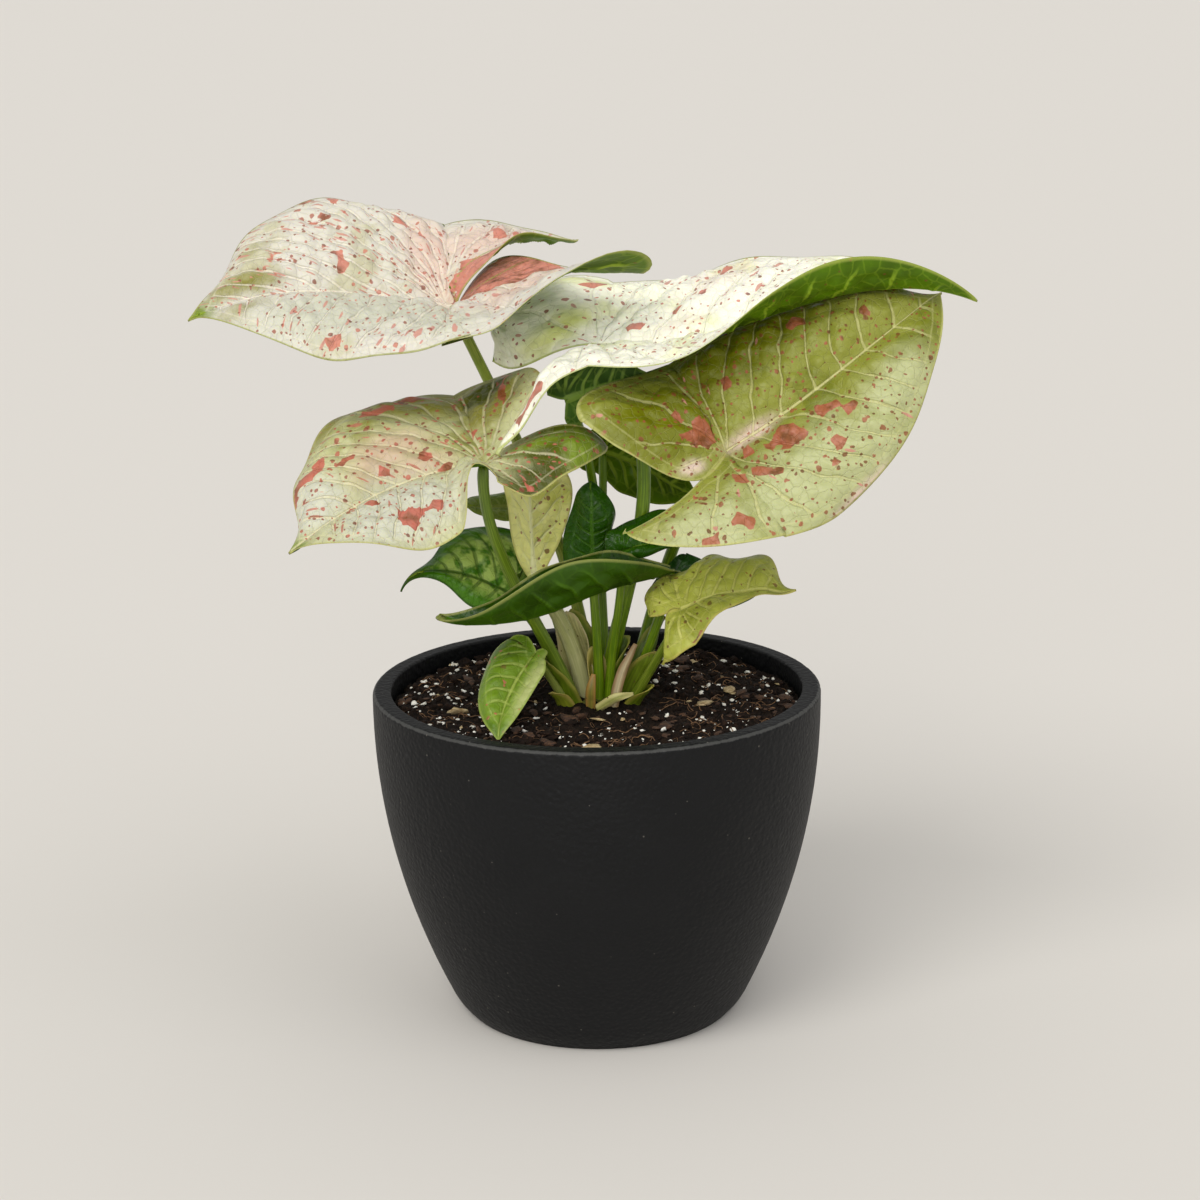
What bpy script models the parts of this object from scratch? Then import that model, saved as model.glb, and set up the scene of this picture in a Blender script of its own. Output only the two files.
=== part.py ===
"""Potted syngonium: a variegated arrowhead plant in a plain black pot.

Metres, +Z up.  The origin is the centre of the pot's flat foot, on the ground, and -Y is the front.
The pot, the soil, the stem base, each leaf stalk and each leaf blade is an object of its own.
A blade is designed flat, as a midrib with a half on each side of it, and then pitched, rolled,
folded and bowed by the angles given for it.  A stalk is one cubic curve from the stem base to its blade.
Design dimensions are in millimetres and degrees.
"""

import math
from dataclasses import dataclass

import bmesh
import bpy
import numpy as np

MM = 0.001
FIT_GAP = 0.3  # between two pieces that touch

# Pot, turned from one profile
POT_HEIGHT = 112.0
POT_RIM_RADIUS = 75.0
POT_MOUTH_RADIUS = 68.8
POT_WALL = 5.6
POT_FLOOR = 7.0
RIM_BEVEL = 1.2
MOUTH_BEVEL = 0.6
TAPER_START = 90.0  # height from which the wall thickens towards the mouth
MOUTH_TAPER = 0.033  # how much it thickens per unit of height
POT_SIDES = 56
WALL_TOP = 108.0  # height at which the wall starts to draw in
WALL_DRAW = 27.5  # how far it would have drawn in at the ground
WALL_CURVE = 2.05
WALL_ROWS = 9
FOOT_ROUND = 7.0  # height of the foot's rounded edge
FOOT_CUT = 1.9  # how much narrower that leaves it on the ground

# Soil and stem base
SOIL_TOP = 104.6
SOIL_RISE = 0.8  # the middle stands this much above the edge
CROWN_RADIUS = 16.0
CROWN_TOP = 106.4
CROWN_DEPTH = 26.0  # how far the stem base and its roots reach down into the soil

# Blades and stalks
BLADE_THICKNESS = 0.9
STALK_SIDES = 8
STALK_STEPS = 14
STALK_FOOT = CROWN_TOP + FIT_GAP
STALK_END_GAP = 0.9  # between a stalk's end and its blade


@dataclass
class Lobe:
    """The part of a half that reaches back past the stalk. A tuple holds values from its root to its end."""

    length: float
    out: float  # how far aside of the midrib its end lies
    cross: float = 0.0  # how far its inner edge reaches over the midrib's line
    lift: tuple = (0.0,)  # degrees that it climbs out of the blade
    rise: tuple = (0.0,)  # degrees that it rises from its inner edge to its margin
    blunt: float = 3.0  # 1 is a pointed end, 2 a round one, more is blunter
    bow: float = 0.0


@dataclass
class Pleat:
    """A place beside the stalk where the margin is gathered in and up."""

    ahead: float  # of the stalk
    breadth: float
    pinch: float  # share of the width that is gathered in
    lift: float  # degrees that the half is raised there


@dataclass
class Half:
    """One side of the midrib. A tuple holds values from the blade's base to its tip, evenly spaced."""

    width: float
    rise: tuple = (0.0,)  # degrees that it rises from the midrib to the margin
    bow: tuple = (1.0, 2.0, 0.0)  # height of the arch across it
    neck: float = 1.0  # width at the base, as a share of the full width
    peak: float = 0.2  # how far along the midrib the full width is reached
    full: float = 3.0  # how long the width is kept towards the tip
    tip: float = 1.2  # how drawn out the tip is
    lobe: Lobe = None
    pleat: Pleat = None


@dataclass
class Blade:
    """A leaf blade: where its stalk joins, how its midrib runs, and its two halves."""

    at: tuple
    heading: float  # degrees from +X towards +Y, from the stalk to the tip
    bend: float  # degrees that the midrib has turned to the left at its tip
    pitch: tuple  # degrees that the midrib climbs, from its base to its tip
    roll: float  # degrees that the left side is raised
    length: float
    left: Half
    right: Half


@dataclass
class Stalk:
    """A leaf stalk: its foot on the stem base, and how far it leans per unit of height at both ends."""

    foot: tuple
    lean: tuple
    arrive: tuple
    foot_radius: float
    top_radius: float


BLADES = {
    "leaf_upper_left": Blade(
        at=(-46, 10, 239), heading=192, bend=8, pitch=(11, 4, -26), roll=-20, length=88,
        left=Half(44, rise=(16, -4, -8), bow=(1, 3, 0), full=4, tip=1.7,
                  lobe=Lobe(50, 24, cross=22, lift=(60, 42, 22, -4, -45), rise=(16, 8, 26, 58),
                            blunt=2.6, bow=-3)),
        right=Half(49, rise=(10, 15, 6), bow=(3, 5, 1), neck=0.9, full=3.6, tip=1.6,
                   lobe=Lobe(54, 22, cross=-3, lift=(78, 50, 20, 0), rise=(10, -10, -18, -22),
                             blunt=2.2, bow=-3)),
    ),
    "leaf_middle_left": Blade(
        at=(-35, -34, 195), heading=193, bend=22, pitch=(-2, -20, -28), roll=-10, length=70,
        left=Half(32, rise=(-18, -14, 16), bow=(2, 3, 0), neck=0.8, peak=0.5, full=5, tip=1.3,
                  pleat=Pleat(ahead=5, breadth=6, pinch=0.5, lift=38),
                  lobe=Lobe(44, 4, cross=1, lift=(50, 26, 6, -12, -38), rise=(-18, -27, -23, -19),
                            blunt=1.8, bow=2)),
        right=Half(47, rise=(10, 15, 14), bow=(2, 5, 2), neck=0.85, full=2.5, tip=1.2,
                   lobe=Lobe(31, 10, cross=-2, lift=(35, 45), rise=(10, 6), bow=1)),
    ),
    "leaf_upper_right": Blade(
        at=(3, -8, 227), heading=-7, bend=3, pitch=(2, 19, -18), roll=0, length=123,
        left=Half(46, rise=(22, 18, 18, 15, 16), bow=(3, 4, -1, -1), neck=0.92, full=3.4, tip=1.7,
                  lobe=Lobe(42, 16, cross=-2, lift=(5, -40, -5), rise=(22, 40, 44), blunt=2.5, bow=4)),
        right=Half(35, rise=(0, -2, 25, 50, 50), bow=(2, 1, -3, -4, -1), full=1.6, tip=0.9,
                   lobe=Lobe(33, 44, cross=-9, lift=(5, 0, -6), rise=(0, -10, -30, -38), blunt=1.4, bow=4)),
    ),
    "leaf_right": Blade(
        at=(42, -35, 198), heading=5, bend=28, pitch=(32, 34, 28), roll=52, length=89,
        left=Half(37, rise=(2, -10, -18), bow=(4, 3, 1), full=3, tip=1.2,
                  lobe=Lobe(39, 26, cross=11, lift=(35, 33), rise=(2, 0), bow=3)),
        right=Half(40, rise=(5, 1, 1), bow=(4, 4, 1), neck=0.9, full=2.2, tip=1.0,
                   lobe=Lobe(44, 10, cross=-7, lift=(36, 20, 12), rise=(5, 0), blunt=1.5, bow=2)),
    ),
    "leaf_inner_top": Blade(
        at=(-8, -25, 214), heading=17, bend=0, pitch=(20, 12, 8), roll=-70, length=28,
        left=Half(10, rise=(-8, 0), bow=(1, 1, 0), full=2.5, tip=1.0, lobe=Lobe(3, 6)),
        right=Half(12, rise=(-8, 0), bow=(1, 1, 0), full=2.5, tip=1.0, lobe=Lobe(6, 4)),
    ),
    "leaf_lower_left": Blade(
        at=(-27, -8, 145), heading=190, bend=8, pitch=(30, 26, 0, -60), roll=0, length=42,
        left=Half(11, rise=(-50, -60, -20), bow=(1, 2, 0), neck=0.7, peak=0.4, full=3, tip=3,
                  lobe=Lobe(4, 3, rise=(-50, -40))),
        right=Half(25, rise=(44, 36, 0), bow=(2, 2, 0), peak=0.3, full=3, tip=3.2,
                   lobe=Lobe(10, 10, lift=(30,), rise=(44, 30))),
    ),
    "leaf_front_fold": Blade(
        at=(25, -12, 154), heading=230, bend=-55, pitch=(3, -5, -14, -4, 22), roll=0, length=86,
        left=Half(18, rise=(20, 45, 66, 60, 20), bow=(0, -3, -2, 0), neck=0.12, peak=0.55, full=4.4, tip=1.6,
                  lobe=Lobe(3, 1)),
        right=Half(15, rise=(60, 75, 55, 76), bow=(0, -2, 0), neck=0.12, peak=0.55, full=4.4, tip=1.6,
                   lobe=Lobe(3, 1)),
    ),
    "leaf_centre_upright": Blade(
        at=(-1, -10, 153), heading=90, bend=0, pitch=(95, 94), roll=0, length=31,
        left=Half(10, rise=(-18, -27, -10), bow=(1, 1, 0), full=3.4, tip=0.6,
                  lobe=Lobe(3, 5, rise=(-18, -20))),
        right=Half(9, rise=(-20, -30, -20), bow=(1, 1, 0), full=3.4, tip=0.6,
                   lobe=Lobe(3, 4, rise=(-20, -20))),
    ),
    "leaf_centre_right": Blade(
        at=(9, -17.5, 162), heading=20, bend=-34, pitch=(10, 6, -2), roll=60, length=28,
        left=Half(10, rise=(0, 5), bow=(1, 2, 0), neck=0.8, full=2.8, tip=1.0, lobe=Lobe(5, 1)),
        right=Half(3.4, rise=(0, 0), bow=(1, 1, 0), full=2.5, tip=1.0, lobe=Lobe(4, 3)),
    ),
    "leaf_low_right": Blade(
        at=(27.5, -30.5, 146), heading=3, bend=0, pitch=(22, 10, -10), roll=0, length=38,
        left=Half(24, rise=(15, 22, 14), bow=(1, 3, 0), neck=0.66, peak=0.35, full=3.4, tip=1.2,
                  lobe=Lobe(11, 4, rise=(15, 25), bow=1)),
        right=Half(15, rise=(-40, -14, -10), bow=(1, 1, 0), full=1.0, tip=1.2,
                   lobe=Lobe(13, 15, cross=3, rise=(-40, -58), blunt=4, bow=2)),
    ),
    "leaf_low_right_back": Blade(
        at=(25, -3, 149), heading=-27, bend=22, pitch=(-25, 0, 15), roll=48, length=33,
        left=Half(10, rise=(12, -15, -20), bow=(1, 1, 0), full=3, tip=1.1, lobe=Lobe(4, 3)),
        right=Half(8, rise=(0, 0), bow=(1, 1, 0), full=3, tip=1.1, lobe=Lobe(4, 3)),
    ),
    "leaf_front_small": Blade(
        at=(-20, -25, 129), heading=222, bend=46, pitch=(-32, -38, -34), roll=0, length=35,
        left=Half(9, rise=(-6, 8, 0), bow=(0, 1, 0), neck=0.6, full=3, tip=1.1, lobe=Lobe(3, 2)),
        right=Half(13, rise=(35, 5, -5), bow=(1, 3, 0), neck=0.8, full=3, tip=1.2,
                   lobe=Lobe(5, 5, lift=(20,), rise=(35, 30))),
    ),
    "leaf_young_pale": Blade(
        at=(-20, -8, 150), heading=75, bend=0, pitch=(104, 94, 74), roll=0, length=50,
        left=Half(18, rise=(-30, -42, -38), bow=(0, -2, 0), neck=0.1, peak=0.7, full=6, tip=1.2),
        right=Half(17, rise=(-30, -42, -38), bow=(0, -2, 0), neck=0.1, peak=0.7, full=6, tip=1.2),
    ),
    "leaf_back_right": Blade(
        at=(3, 16, 188), heading=0, bend=-11, pitch=(-10, -31, -18), roll=-52, length=35,
        left=Half(16, rise=(-4, -8), bow=(1, 1, 0), neck=0.7, peak=0.4, full=4, tip=1.1, lobe=Lobe(7, 8)),
        right=Half(13, rise=(-4, -8), bow=(1, 1, 0), full=4, tip=1.1, lobe=Lobe(6, 6)),
    ),
    "leaf_back_left": Blade(
        at=(-28, 14, 170), heading=194, bend=18, pitch=(7, 0), roll=0, length=17,
        left=Half(7, rise=(-27,), bow=(1, 1, 0), full=2.5, tip=1.0, lobe=Lobe(3, 4, rise=(-27,))),
        right=Half(7, rise=(38,), bow=(1, 1, 0), full=2.5, tip=1.0, lobe=Lobe(3, 4, rise=(38,))),
    ),
}

STALKS = {
    "leaf_upper_left": Stalk((-2, 9), (-0.05, 0.10), (-0.45, -0.15), 2.1, 1.7),
    "leaf_middle_left": Stalk((-7.5, -6), (-0.25, -0.45), (0.10, -0.20), 2.3, 1.7),
    "leaf_upper_right": Stalk((2.5, -1.5), (0.10, -0.10), (-0.70, 0.10), 2.5, 2.1),
    "leaf_right": Stalk((11.5, 6.5), (0.30, 0.50), (0.50, -1.50), 2.2, 1.8),
    "leaf_inner_top": Stalk((4, 5.5), (-0.10, 0.05), (-0.35, -1.20), 1.6, 1.4),
    "leaf_lower_left": Stalk((-7.5, 1.5), (-0.30, 0.00), (-0.70, -0.20), 1.6, 1.3),
    "leaf_front_fold": Stalk((9.5, -2.5), (0.40, -0.30), (0.20, -0.10), 1.6, 1.3),
    "leaf_centre_upright": Stalk((0.5, -7), (0.05, -0.05), (-0.05, -0.05), 1.7, 1.4),
    "leaf_centre_right": Stalk((4, -7.5), (0.00, -0.10), (0.00, -0.20), 1.4, 1.3),
    "leaf_low_right": Stalk((10.5, -8), (0.50, -0.40), (0.30, -0.50), 1.6, 1.3),
    "leaf_low_right_back": Stalk((11.8, 1.6), (0.30, 0.10), (0.30, -0.30), 1.4, 1.2),
    "leaf_front_small": Stalk((-9.5, -10.5), (-0.40, -0.30), (-0.50, -0.90), 1.3, 1.1),
    "leaf_young_pale": Stalk((-3.5, -1), (-0.15, -0.20), (-0.70, -0.20), 2.8, 2.4),
    "leaf_back_right": Stalk((0.5, 11.5), (0.05, 0.15), (0.00, 0.00), 1.5, 1.3),
    "leaf_back_left": Stalk((-6.5, 6.5), (-0.25, 0.40), (-0.40, -0.30), 1.4, 1.2),
}

LEAF_COLOURS = {  # sRGB, 0 to 1
    "leaf_upper_left": (0.89, 0.87, 0.79),
    "leaf_middle_left": (0.78, 0.80, 0.63),
    "leaf_upper_right": (0.88, 0.88, 0.76),
    "leaf_right": (0.70, 0.74, 0.45),
    "leaf_inner_top": (0.27, 0.45, 0.08),
    "leaf_lower_left": (0.25, 0.42, 0.14),
    "leaf_front_fold": (0.14, 0.30, 0.08),
    "leaf_centre_upright": (0.13, 0.30, 0.09),
    "leaf_centre_right": (0.14, 0.32, 0.09),
    "leaf_low_right": (0.66, 0.70, 0.35),
    "leaf_low_right_back": (0.13, 0.30, 0.18),
    "leaf_front_small": (0.45, 0.60, 0.22),
    "leaf_young_pale": (0.72, 0.74, 0.50),
    "leaf_back_right": (0.38, 0.50, 0.16),
    "leaf_back_left": (0.60, 0.70, 0.45),
}
STALK_COLOUR = (0.32, 0.48, 0.12)
POT_COLOUR = (0.10, 0.10, 0.10)
SOIL_COLOUR = (0.14, 0.10, 0.08)
CROWN_COLOUR = (0.42, 0.48, 0.20)


def linear(colour):
    """An sRGB colour as the linear RGBA that a shader takes."""
    return tuple(c / 12.92 if c < 0.04045 else ((c + 0.055) / 1.055) ** 2.4 for c in colour) + (1.0,)


def material(name, colour, roughness):
    made = bpy.data.materials.new(name)
    made.use_nodes = True
    shader = made.node_tree.nodes["Principled BSDF"]
    shader.inputs["Base Color"].default_value = linear(colour)
    shader.inputs["Roughness"].default_value = roughness
    shader.inputs["Metallic"].default_value = 0.0
    return made


def clear_scene():
    for obj in list(bpy.data.objects):
        bpy.data.objects.remove(obj, do_unlink=True)


def add_object(name, bm, colour, roughness):
    """The bmesh, given in millimetres, as an object in metres."""
    bmesh.ops.scale(bm, vec=(MM, MM, MM), verts=bm.verts)
    mesh = bpy.data.meshes.new(name)
    bm.to_mesh(mesh)
    bm.free()
    obj = bpy.data.objects.new(name, mesh)
    bpy.context.scene.collection.objects.link(obj)
    mesh.materials.append(material(name + "_material", colour, roughness))
    mesh.shade_smooth()
    return obj


def along(values, t):
    """A smooth curve through evenly spaced values, at t from 0 to 1."""
    values = np.asarray(values, float)
    if len(values) == 1:
        return np.full_like(t, values[0])
    slopes = np.gradient(values)
    at = t * (len(values) - 1)
    low = np.clip(np.floor(at).astype(int), 0, len(values) - 2)
    s = at - low
    return (
        (2 * s**3 - 3 * s**2 + 1) * values[low]
        + (s**3 - 2 * s**2 + s) * slopes[low]
        + (3 * s**2 - 2 * s**3) * values[low + 1]
        + (s**3 - s**2) * slopes[low + 1]
    )


def frames(blade, t):
    """At each t along the midrib: the point on it, and the unit vectors ahead, to the left and up."""
    fine = np.linspace(0, 1, 201)
    heading = np.radians(blade.heading + blade.bend * fine)
    pitch = np.radians(along(blade.pitch, fine))
    ahead = np.stack(
        (np.cos(pitch) * np.cos(heading), np.cos(pitch) * np.sin(heading), np.sin(pitch)), axis=1
    )
    level = np.stack((-np.sin(heading), np.cos(heading), np.zeros_like(fine)), axis=1)
    upward = np.cross(ahead, level)
    roll = math.radians(blade.roll)
    left = math.cos(roll) * level + math.sin(roll) * upward
    steps = (ahead[1:] + ahead[:-1]) / 2 * blade.length / (len(fine) - 1)
    points = np.asarray(blade.at, float) + np.vstack((np.zeros(3), np.cumsum(steps, axis=0)))
    picked = np.round(t * (len(fine) - 1)).astype(int)
    ahead, left = ahead[picked], left[picked]
    return points[picked], ahead, left, np.cross(ahead, left)


def front_width(half, t):
    grown = half.neck + (1 - half.neck) * np.sin(np.clip(t / half.peak, 0, 1) * math.pi / 2)
    return half.width * grown * (1 - t**half.full) ** half.tip


def gathered(half, ahead, outer, rise):
    """The outer offset and the rise of each row, changed near the half's pleat; ahead is from the stalk."""
    if not half.pleat:
        return outer, rise
    near = np.exp(-(((ahead - half.pleat.ahead) / half.pleat.breadth) ** 2))
    return outer * (1 - half.pleat.pinch * near), rise + half.pleat.lift * near


def tilted(side, up, degrees):
    """The directions along and square to a half that rises by this many degrees."""
    angle = np.radians(degrees)[:, None]
    return np.cos(angle) * side + np.sin(angle) * up, np.cos(angle) * up - np.sin(angle) * side


def front_rows(blade, half, sign, t):
    """Each row ahead of the stalk: its origin, side and normal directions, inner and outer offset, and bow."""
    origin, _, left, up = frames(blade, t)
    outer, rise = gathered(half, t * blade.length, front_width(half, t), along(half.rise, t))
    side, normal = tilted(sign * left, up, rise)
    return origin, side, normal, np.zeros_like(t), outer, along(half.bow, t)


def lobe_rows(blade, half, sign, u):
    """The same for each row of the lobe, at u from 0 at its root to 1 at its end."""
    lobe = half.lobe
    base, ahead, left, up = [values[0] for values in frames(blade, np.zeros(1))]
    fine = np.linspace(0, 1, 101)
    lift = np.radians(along(lobe.lift, fine))[:, None]
    back = np.sin(lift) * up - np.cos(lift) * ahead
    raised = np.cos(lift) * up + np.sin(lift) * ahead
    steps = (back[1:] + back[:-1]) / 2 * lobe.length / (len(fine) - 1)
    points = base + np.vstack((np.zeros(3), np.cumsum(steps, axis=0)))
    picked = np.round(u * (len(fine) - 1)).astype(int)
    root_width = float(front_width(half, np.zeros(1))[0])
    inner = lobe.out * u**2 - lobe.cross * np.sin(math.pi * u)
    outer = lobe.out + (root_width - lobe.out) * (1 - u**lobe.blunt) ** (1 / lobe.blunt)
    outer, rise = gathered(half, -u * lobe.length, outer, along(lobe.rise, u))
    side, normal = tilted(sign * left, raised[picked], rise)
    root_bow = float(along(half.bow, np.zeros(1))[0])
    return points[picked], side, normal, inner, outer, root_bow + (lobe.bow - root_bow) * np.minimum(2 * u, 1)


def half_surface(blade, side_name, front, back, across):
    """Grid points of one half: rows from its lobe's end to the tip, each from the inner edge to the margin."""
    half = blade.left if side_name == "left" else blade.right
    sign = 1.0 if side_name == "left" else -1.0
    s = np.linspace(0, 1, across + 1)[None, :, None]
    parts = []
    if half.lobe:
        u = np.sin(np.linspace(math.pi / 2, 0, back + 1))[:-1]
        parts.append(lobe_rows(blade, half, sign, u))
    parts.append(front_rows(blade, half, sign, np.linspace(0, 1, front + 1)))
    origin, side, normal, inner, outer, bow = [np.concatenate(values) for values in zip(*parts)]
    offset = inner[:, None, None] + s * (outer - inner)[:, None, None]
    shrink = np.clip(np.abs(outer - inner) / (0.5 * half.width), 0, 1)
    arch = 4 * s * (1 - s) * (bow * shrink)[:, None, None]
    return origin[:, None, :] + offset * side[:, None, :] + arch * normal[:, None, :]


def add_blade(name, blade, front, back, across):
    bm = bmesh.new()
    for side in ("left", "right"):
        grid = half_surface(blade, side, front, back, across)
        verts = [[bm.verts.new(point) for point in row] for row in grid]
        for low, high in zip(verts, verts[1:]):
            for j in range(across):
                ring = (low[j], low[j + 1], high[j + 1], high[j])
                bm.faces.new(ring if side == "right" else ring[::-1])
    bmesh.ops.remove_doubles(bm, verts=bm.verts, dist=0.02)
    bmesh.ops.triangulate(bm, faces=bm.faces)
    obj = add_object(name, bm, LEAF_COLOURS[name], 0.4)
    solid = obj.modifiers.new("thickness", "SOLIDIFY")
    solid.thickness = BLADE_THICKNESS * MM
    solid.offset = 0.0
    return obj


def end_gap(blade, direction, radius):
    """How far short of the blade a stalk stops, so that the rim of its end stays clear."""
    normal = frames(blade, np.zeros(1))[3][0]
    steep = abs(normal @ direction)
    clear = BLADE_THICKNESS / 2 + STALK_END_GAP + radius * math.sqrt(1.0 - steep**2)
    return clear / max(steep, 0.4)


def stalk_line(stalk, blade):
    """Points of the stalk's middle line, from the stem base to just short of the blade."""
    foot = np.array((*stalk.foot, STALK_FOOT), float)
    top = np.asarray(blade.at, float)
    arrival = np.array((*stalk.arrive, 1.0))
    arrival /= np.linalg.norm(arrival)
    top = top - arrival * end_gap(blade, arrival, stalk.top_radius)
    height = top[2] - foot[2]
    start = height * np.array((*stalk.lean, 1.0))
    end = height * np.array((*stalk.arrive, 1.0))
    s = np.linspace(0, 1, STALK_STEPS + 1)[:, None]
    return (
        (2 * s**3 - 3 * s**2 + 1) * foot
        + (s**3 - 2 * s**2 + s) * start
        + (3 * s**2 - 2 * s**3) * top
        + (s**3 - s**2) * end
    )


def add_stalk(name, stalk, blade):
    """A tapering round stalk from the stem base to just under its blade."""
    line = stalk_line(stalk, blade)
    bm = bmesh.new()
    rings = []
    for i, centre in enumerate(line):
        ahead = line[min(i + 1, len(line) - 1)] - line[max(i - 1, 0)]
        ahead = np.array((0.0, 0.0, 1.0)) if i == 0 else ahead / np.linalg.norm(ahead)
        side = np.cross(ahead, (0.0, 1.0, 0.0))
        side /= np.linalg.norm(side)
        other = np.cross(ahead, side)
        radius = stalk.foot_radius + (stalk.top_radius - stalk.foot_radius) * i / (len(line) - 1)
        turns = [2 * math.pi * k / STALK_SIDES for k in range(STALK_SIDES)]
        ring = [centre + radius * (math.cos(a) * side + math.sin(a) * other) for a in turns]
        rings.append([bm.verts.new(point) for point in ring])
    for low, high in zip(rings, rings[1:]):
        for k in range(STALK_SIDES):
            n = (k + 1) % STALK_SIDES
            bm.faces.new((low[k], low[n], high[n], high[k]))
    bm.faces.new(rings[0][::-1])
    bm.faces.new(rings[-1])
    bmesh.ops.recalc_face_normals(bm, faces=bm.faces)
    return add_object(name, bm, STALK_COLOUR, 0.45)


def turned(name, profile, colour, roughness):
    """A solid turned about +Z from (radius, height) points that start and end on the axis."""
    bm = bmesh.new()
    rings = []
    for radius, height in profile:
        if radius < 1e-6:
            rings.append([bm.verts.new((0, 0, height))])
            continue
        turns = [2 * math.pi * k / POT_SIDES for k in range(POT_SIDES)]
        rings.append([bm.verts.new((radius * math.cos(a), radius * math.sin(a), height)) for a in turns])
    for low, high in zip(rings, rings[1:]):
        for k in range(POT_SIDES):
            n = (k + 1) % POT_SIDES
            corners = [low[k % len(low)], low[n % len(low)], high[n % len(high)], high[k % len(high)]]
            bm.faces.new(list(dict.fromkeys(corners)))
    bmesh.ops.recalc_face_normals(bm, faces=bm.faces)
    obj = add_object(name, bm, colour, roughness)
    obj.data.set_sharp_from_angle(angle=math.radians(35))
    return obj


def outer_radius(height):
    """The pot's outer wall, which draws in towards the ground and is rounded at the foot."""
    depth = max(0.0, WALL_TOP - height) / WALL_TOP
    cut = FOOT_CUT * max(0.0, 1 - height / FOOT_ROUND) ** 2
    return POT_RIM_RADIUS - WALL_DRAW * depth**WALL_CURVE - cut


def inner_radius(height):
    """The pot's inner wall: a wall's thickness inside the outer one, easing to the mouth at the rim."""
    return outer_radius(height) - POT_WALL - MOUTH_TAPER * max(0.0, height - TAPER_START)


def add_pot():
    wall = np.linspace(FOOT_ROUND, WALL_TOP, WALL_ROWS + 1)
    heights = [0.0, 0.15 * FOOT_ROUND, 0.5 * FOOT_ROUND, *wall]
    profile = [(0.0, 0.0)] + [(outer_radius(height), height) for height in heights]
    profile += [
        (POT_RIM_RADIUS, POT_HEIGHT - RIM_BEVEL),
        (POT_RIM_RADIUS - RIM_BEVEL, POT_HEIGHT),
        (POT_MOUTH_RADIUS + MOUTH_BEVEL, POT_HEIGHT),
        (POT_MOUTH_RADIUS, POT_HEIGHT - MOUTH_BEVEL),
    ]
    inside = (100.0, 80.0, 60.0, 40.0, 25.0, 14.0)
    profile += [(inner_radius(height), height) for height in inside]
    profile += [(inner_radius(14.0) - 5.0, POT_FLOOR), (0.0, POT_FLOOR)]
    return turned("pot", profile, POT_COLOUR, 0.55)


def add_soil():
    """The soil fills the pot below the rim, with a socket for the stem base."""
    socket = CROWN_RADIUS + FIT_GAP
    profile = [(0.0, POT_FLOOR + FIT_GAP), (inner_radius(14.0) - 5.4, POT_FLOOR + FIT_GAP)]
    inside = (14.6, 25.0, 40.0, 60.0, 80.0, 100.0)
    profile += [(inner_radius(height) - FIT_GAP - 0.1, height) for height in inside]
    profile += [
        (inner_radius(SOIL_TOP) - FIT_GAP - 0.1, SOIL_TOP),
        (socket, SOIL_TOP + SOIL_RISE),
        (socket * 0.8, CROWN_TOP - CROWN_DEPTH - FIT_GAP),
        (0.0, CROWN_TOP - CROWN_DEPTH - FIT_GAP),
    ]
    return turned("soil", profile, SOIL_COLOUR, 0.95)


def add_crown():
    """The short stem base that all the stalks grow from, set in the soil's socket."""
    low = CROWN_TOP - CROWN_DEPTH
    profile = [
        (0.0, low),
        (CROWN_RADIUS * 0.8 - 0.2, low),
        (CROWN_RADIUS, SOIL_TOP + SOIL_RISE - 0.1),
        (CROWN_RADIUS - 0.8, CROWN_TOP),
        (0.0, CROWN_TOP),
    ]
    return turned("stem_base", profile, CROWN_COLOUR, 0.6)


def grid_counts(blade):
    """How many rows ahead of the stalk, rows in each lobe and cells across each half a blade gets."""
    return (12, 7, 5) if blade.length > 60 else (8, 4, 3)


def main():
    clear_scene()
    add_pot()
    add_soil()
    add_crown()
    for name, blade in BLADES.items():
        add_blade(name, blade, *grid_counts(blade))
        add_stalk(name.replace("leaf_", "stalk_"), STALKS[name], blade)


main()
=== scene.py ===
"""The looks of the potted syngonium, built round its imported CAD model.

Metres, +Z up, in the CAD frame.  Leaf design values are in millimetres and degrees, as in the part's source:
a blade is designed flat, as a midrib with a half on each side, then pitched, rolled, folded and bowed.
Places on a blade are given flat too: millimetres ahead of the stalk, and millimetres to the left of the
midrib.  Colours are sRGB from 0 to 255.
"""

from dataclasses import dataclass
from itertools import combinations
from math import cos, exp, hypot, pi, radians, sin, sqrt

import bpy
import numpy as np
from mathutils import Matrix, Vector, noise
from mathutils.kdtree import KDTree


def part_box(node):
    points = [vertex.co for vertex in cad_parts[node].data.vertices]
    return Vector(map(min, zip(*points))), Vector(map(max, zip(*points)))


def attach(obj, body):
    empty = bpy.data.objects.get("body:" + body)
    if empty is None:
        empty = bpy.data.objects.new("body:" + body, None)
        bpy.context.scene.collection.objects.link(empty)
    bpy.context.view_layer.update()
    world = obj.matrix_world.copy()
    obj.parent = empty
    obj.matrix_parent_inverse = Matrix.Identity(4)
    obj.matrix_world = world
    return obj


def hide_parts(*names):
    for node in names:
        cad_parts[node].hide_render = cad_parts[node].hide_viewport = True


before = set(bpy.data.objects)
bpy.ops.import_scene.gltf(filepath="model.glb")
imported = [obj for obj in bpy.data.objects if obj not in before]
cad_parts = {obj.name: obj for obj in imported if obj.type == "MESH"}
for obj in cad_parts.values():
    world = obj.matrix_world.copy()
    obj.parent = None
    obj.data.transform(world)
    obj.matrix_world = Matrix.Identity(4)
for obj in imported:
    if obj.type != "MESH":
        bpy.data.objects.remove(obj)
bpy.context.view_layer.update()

MM = 0.001

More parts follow.
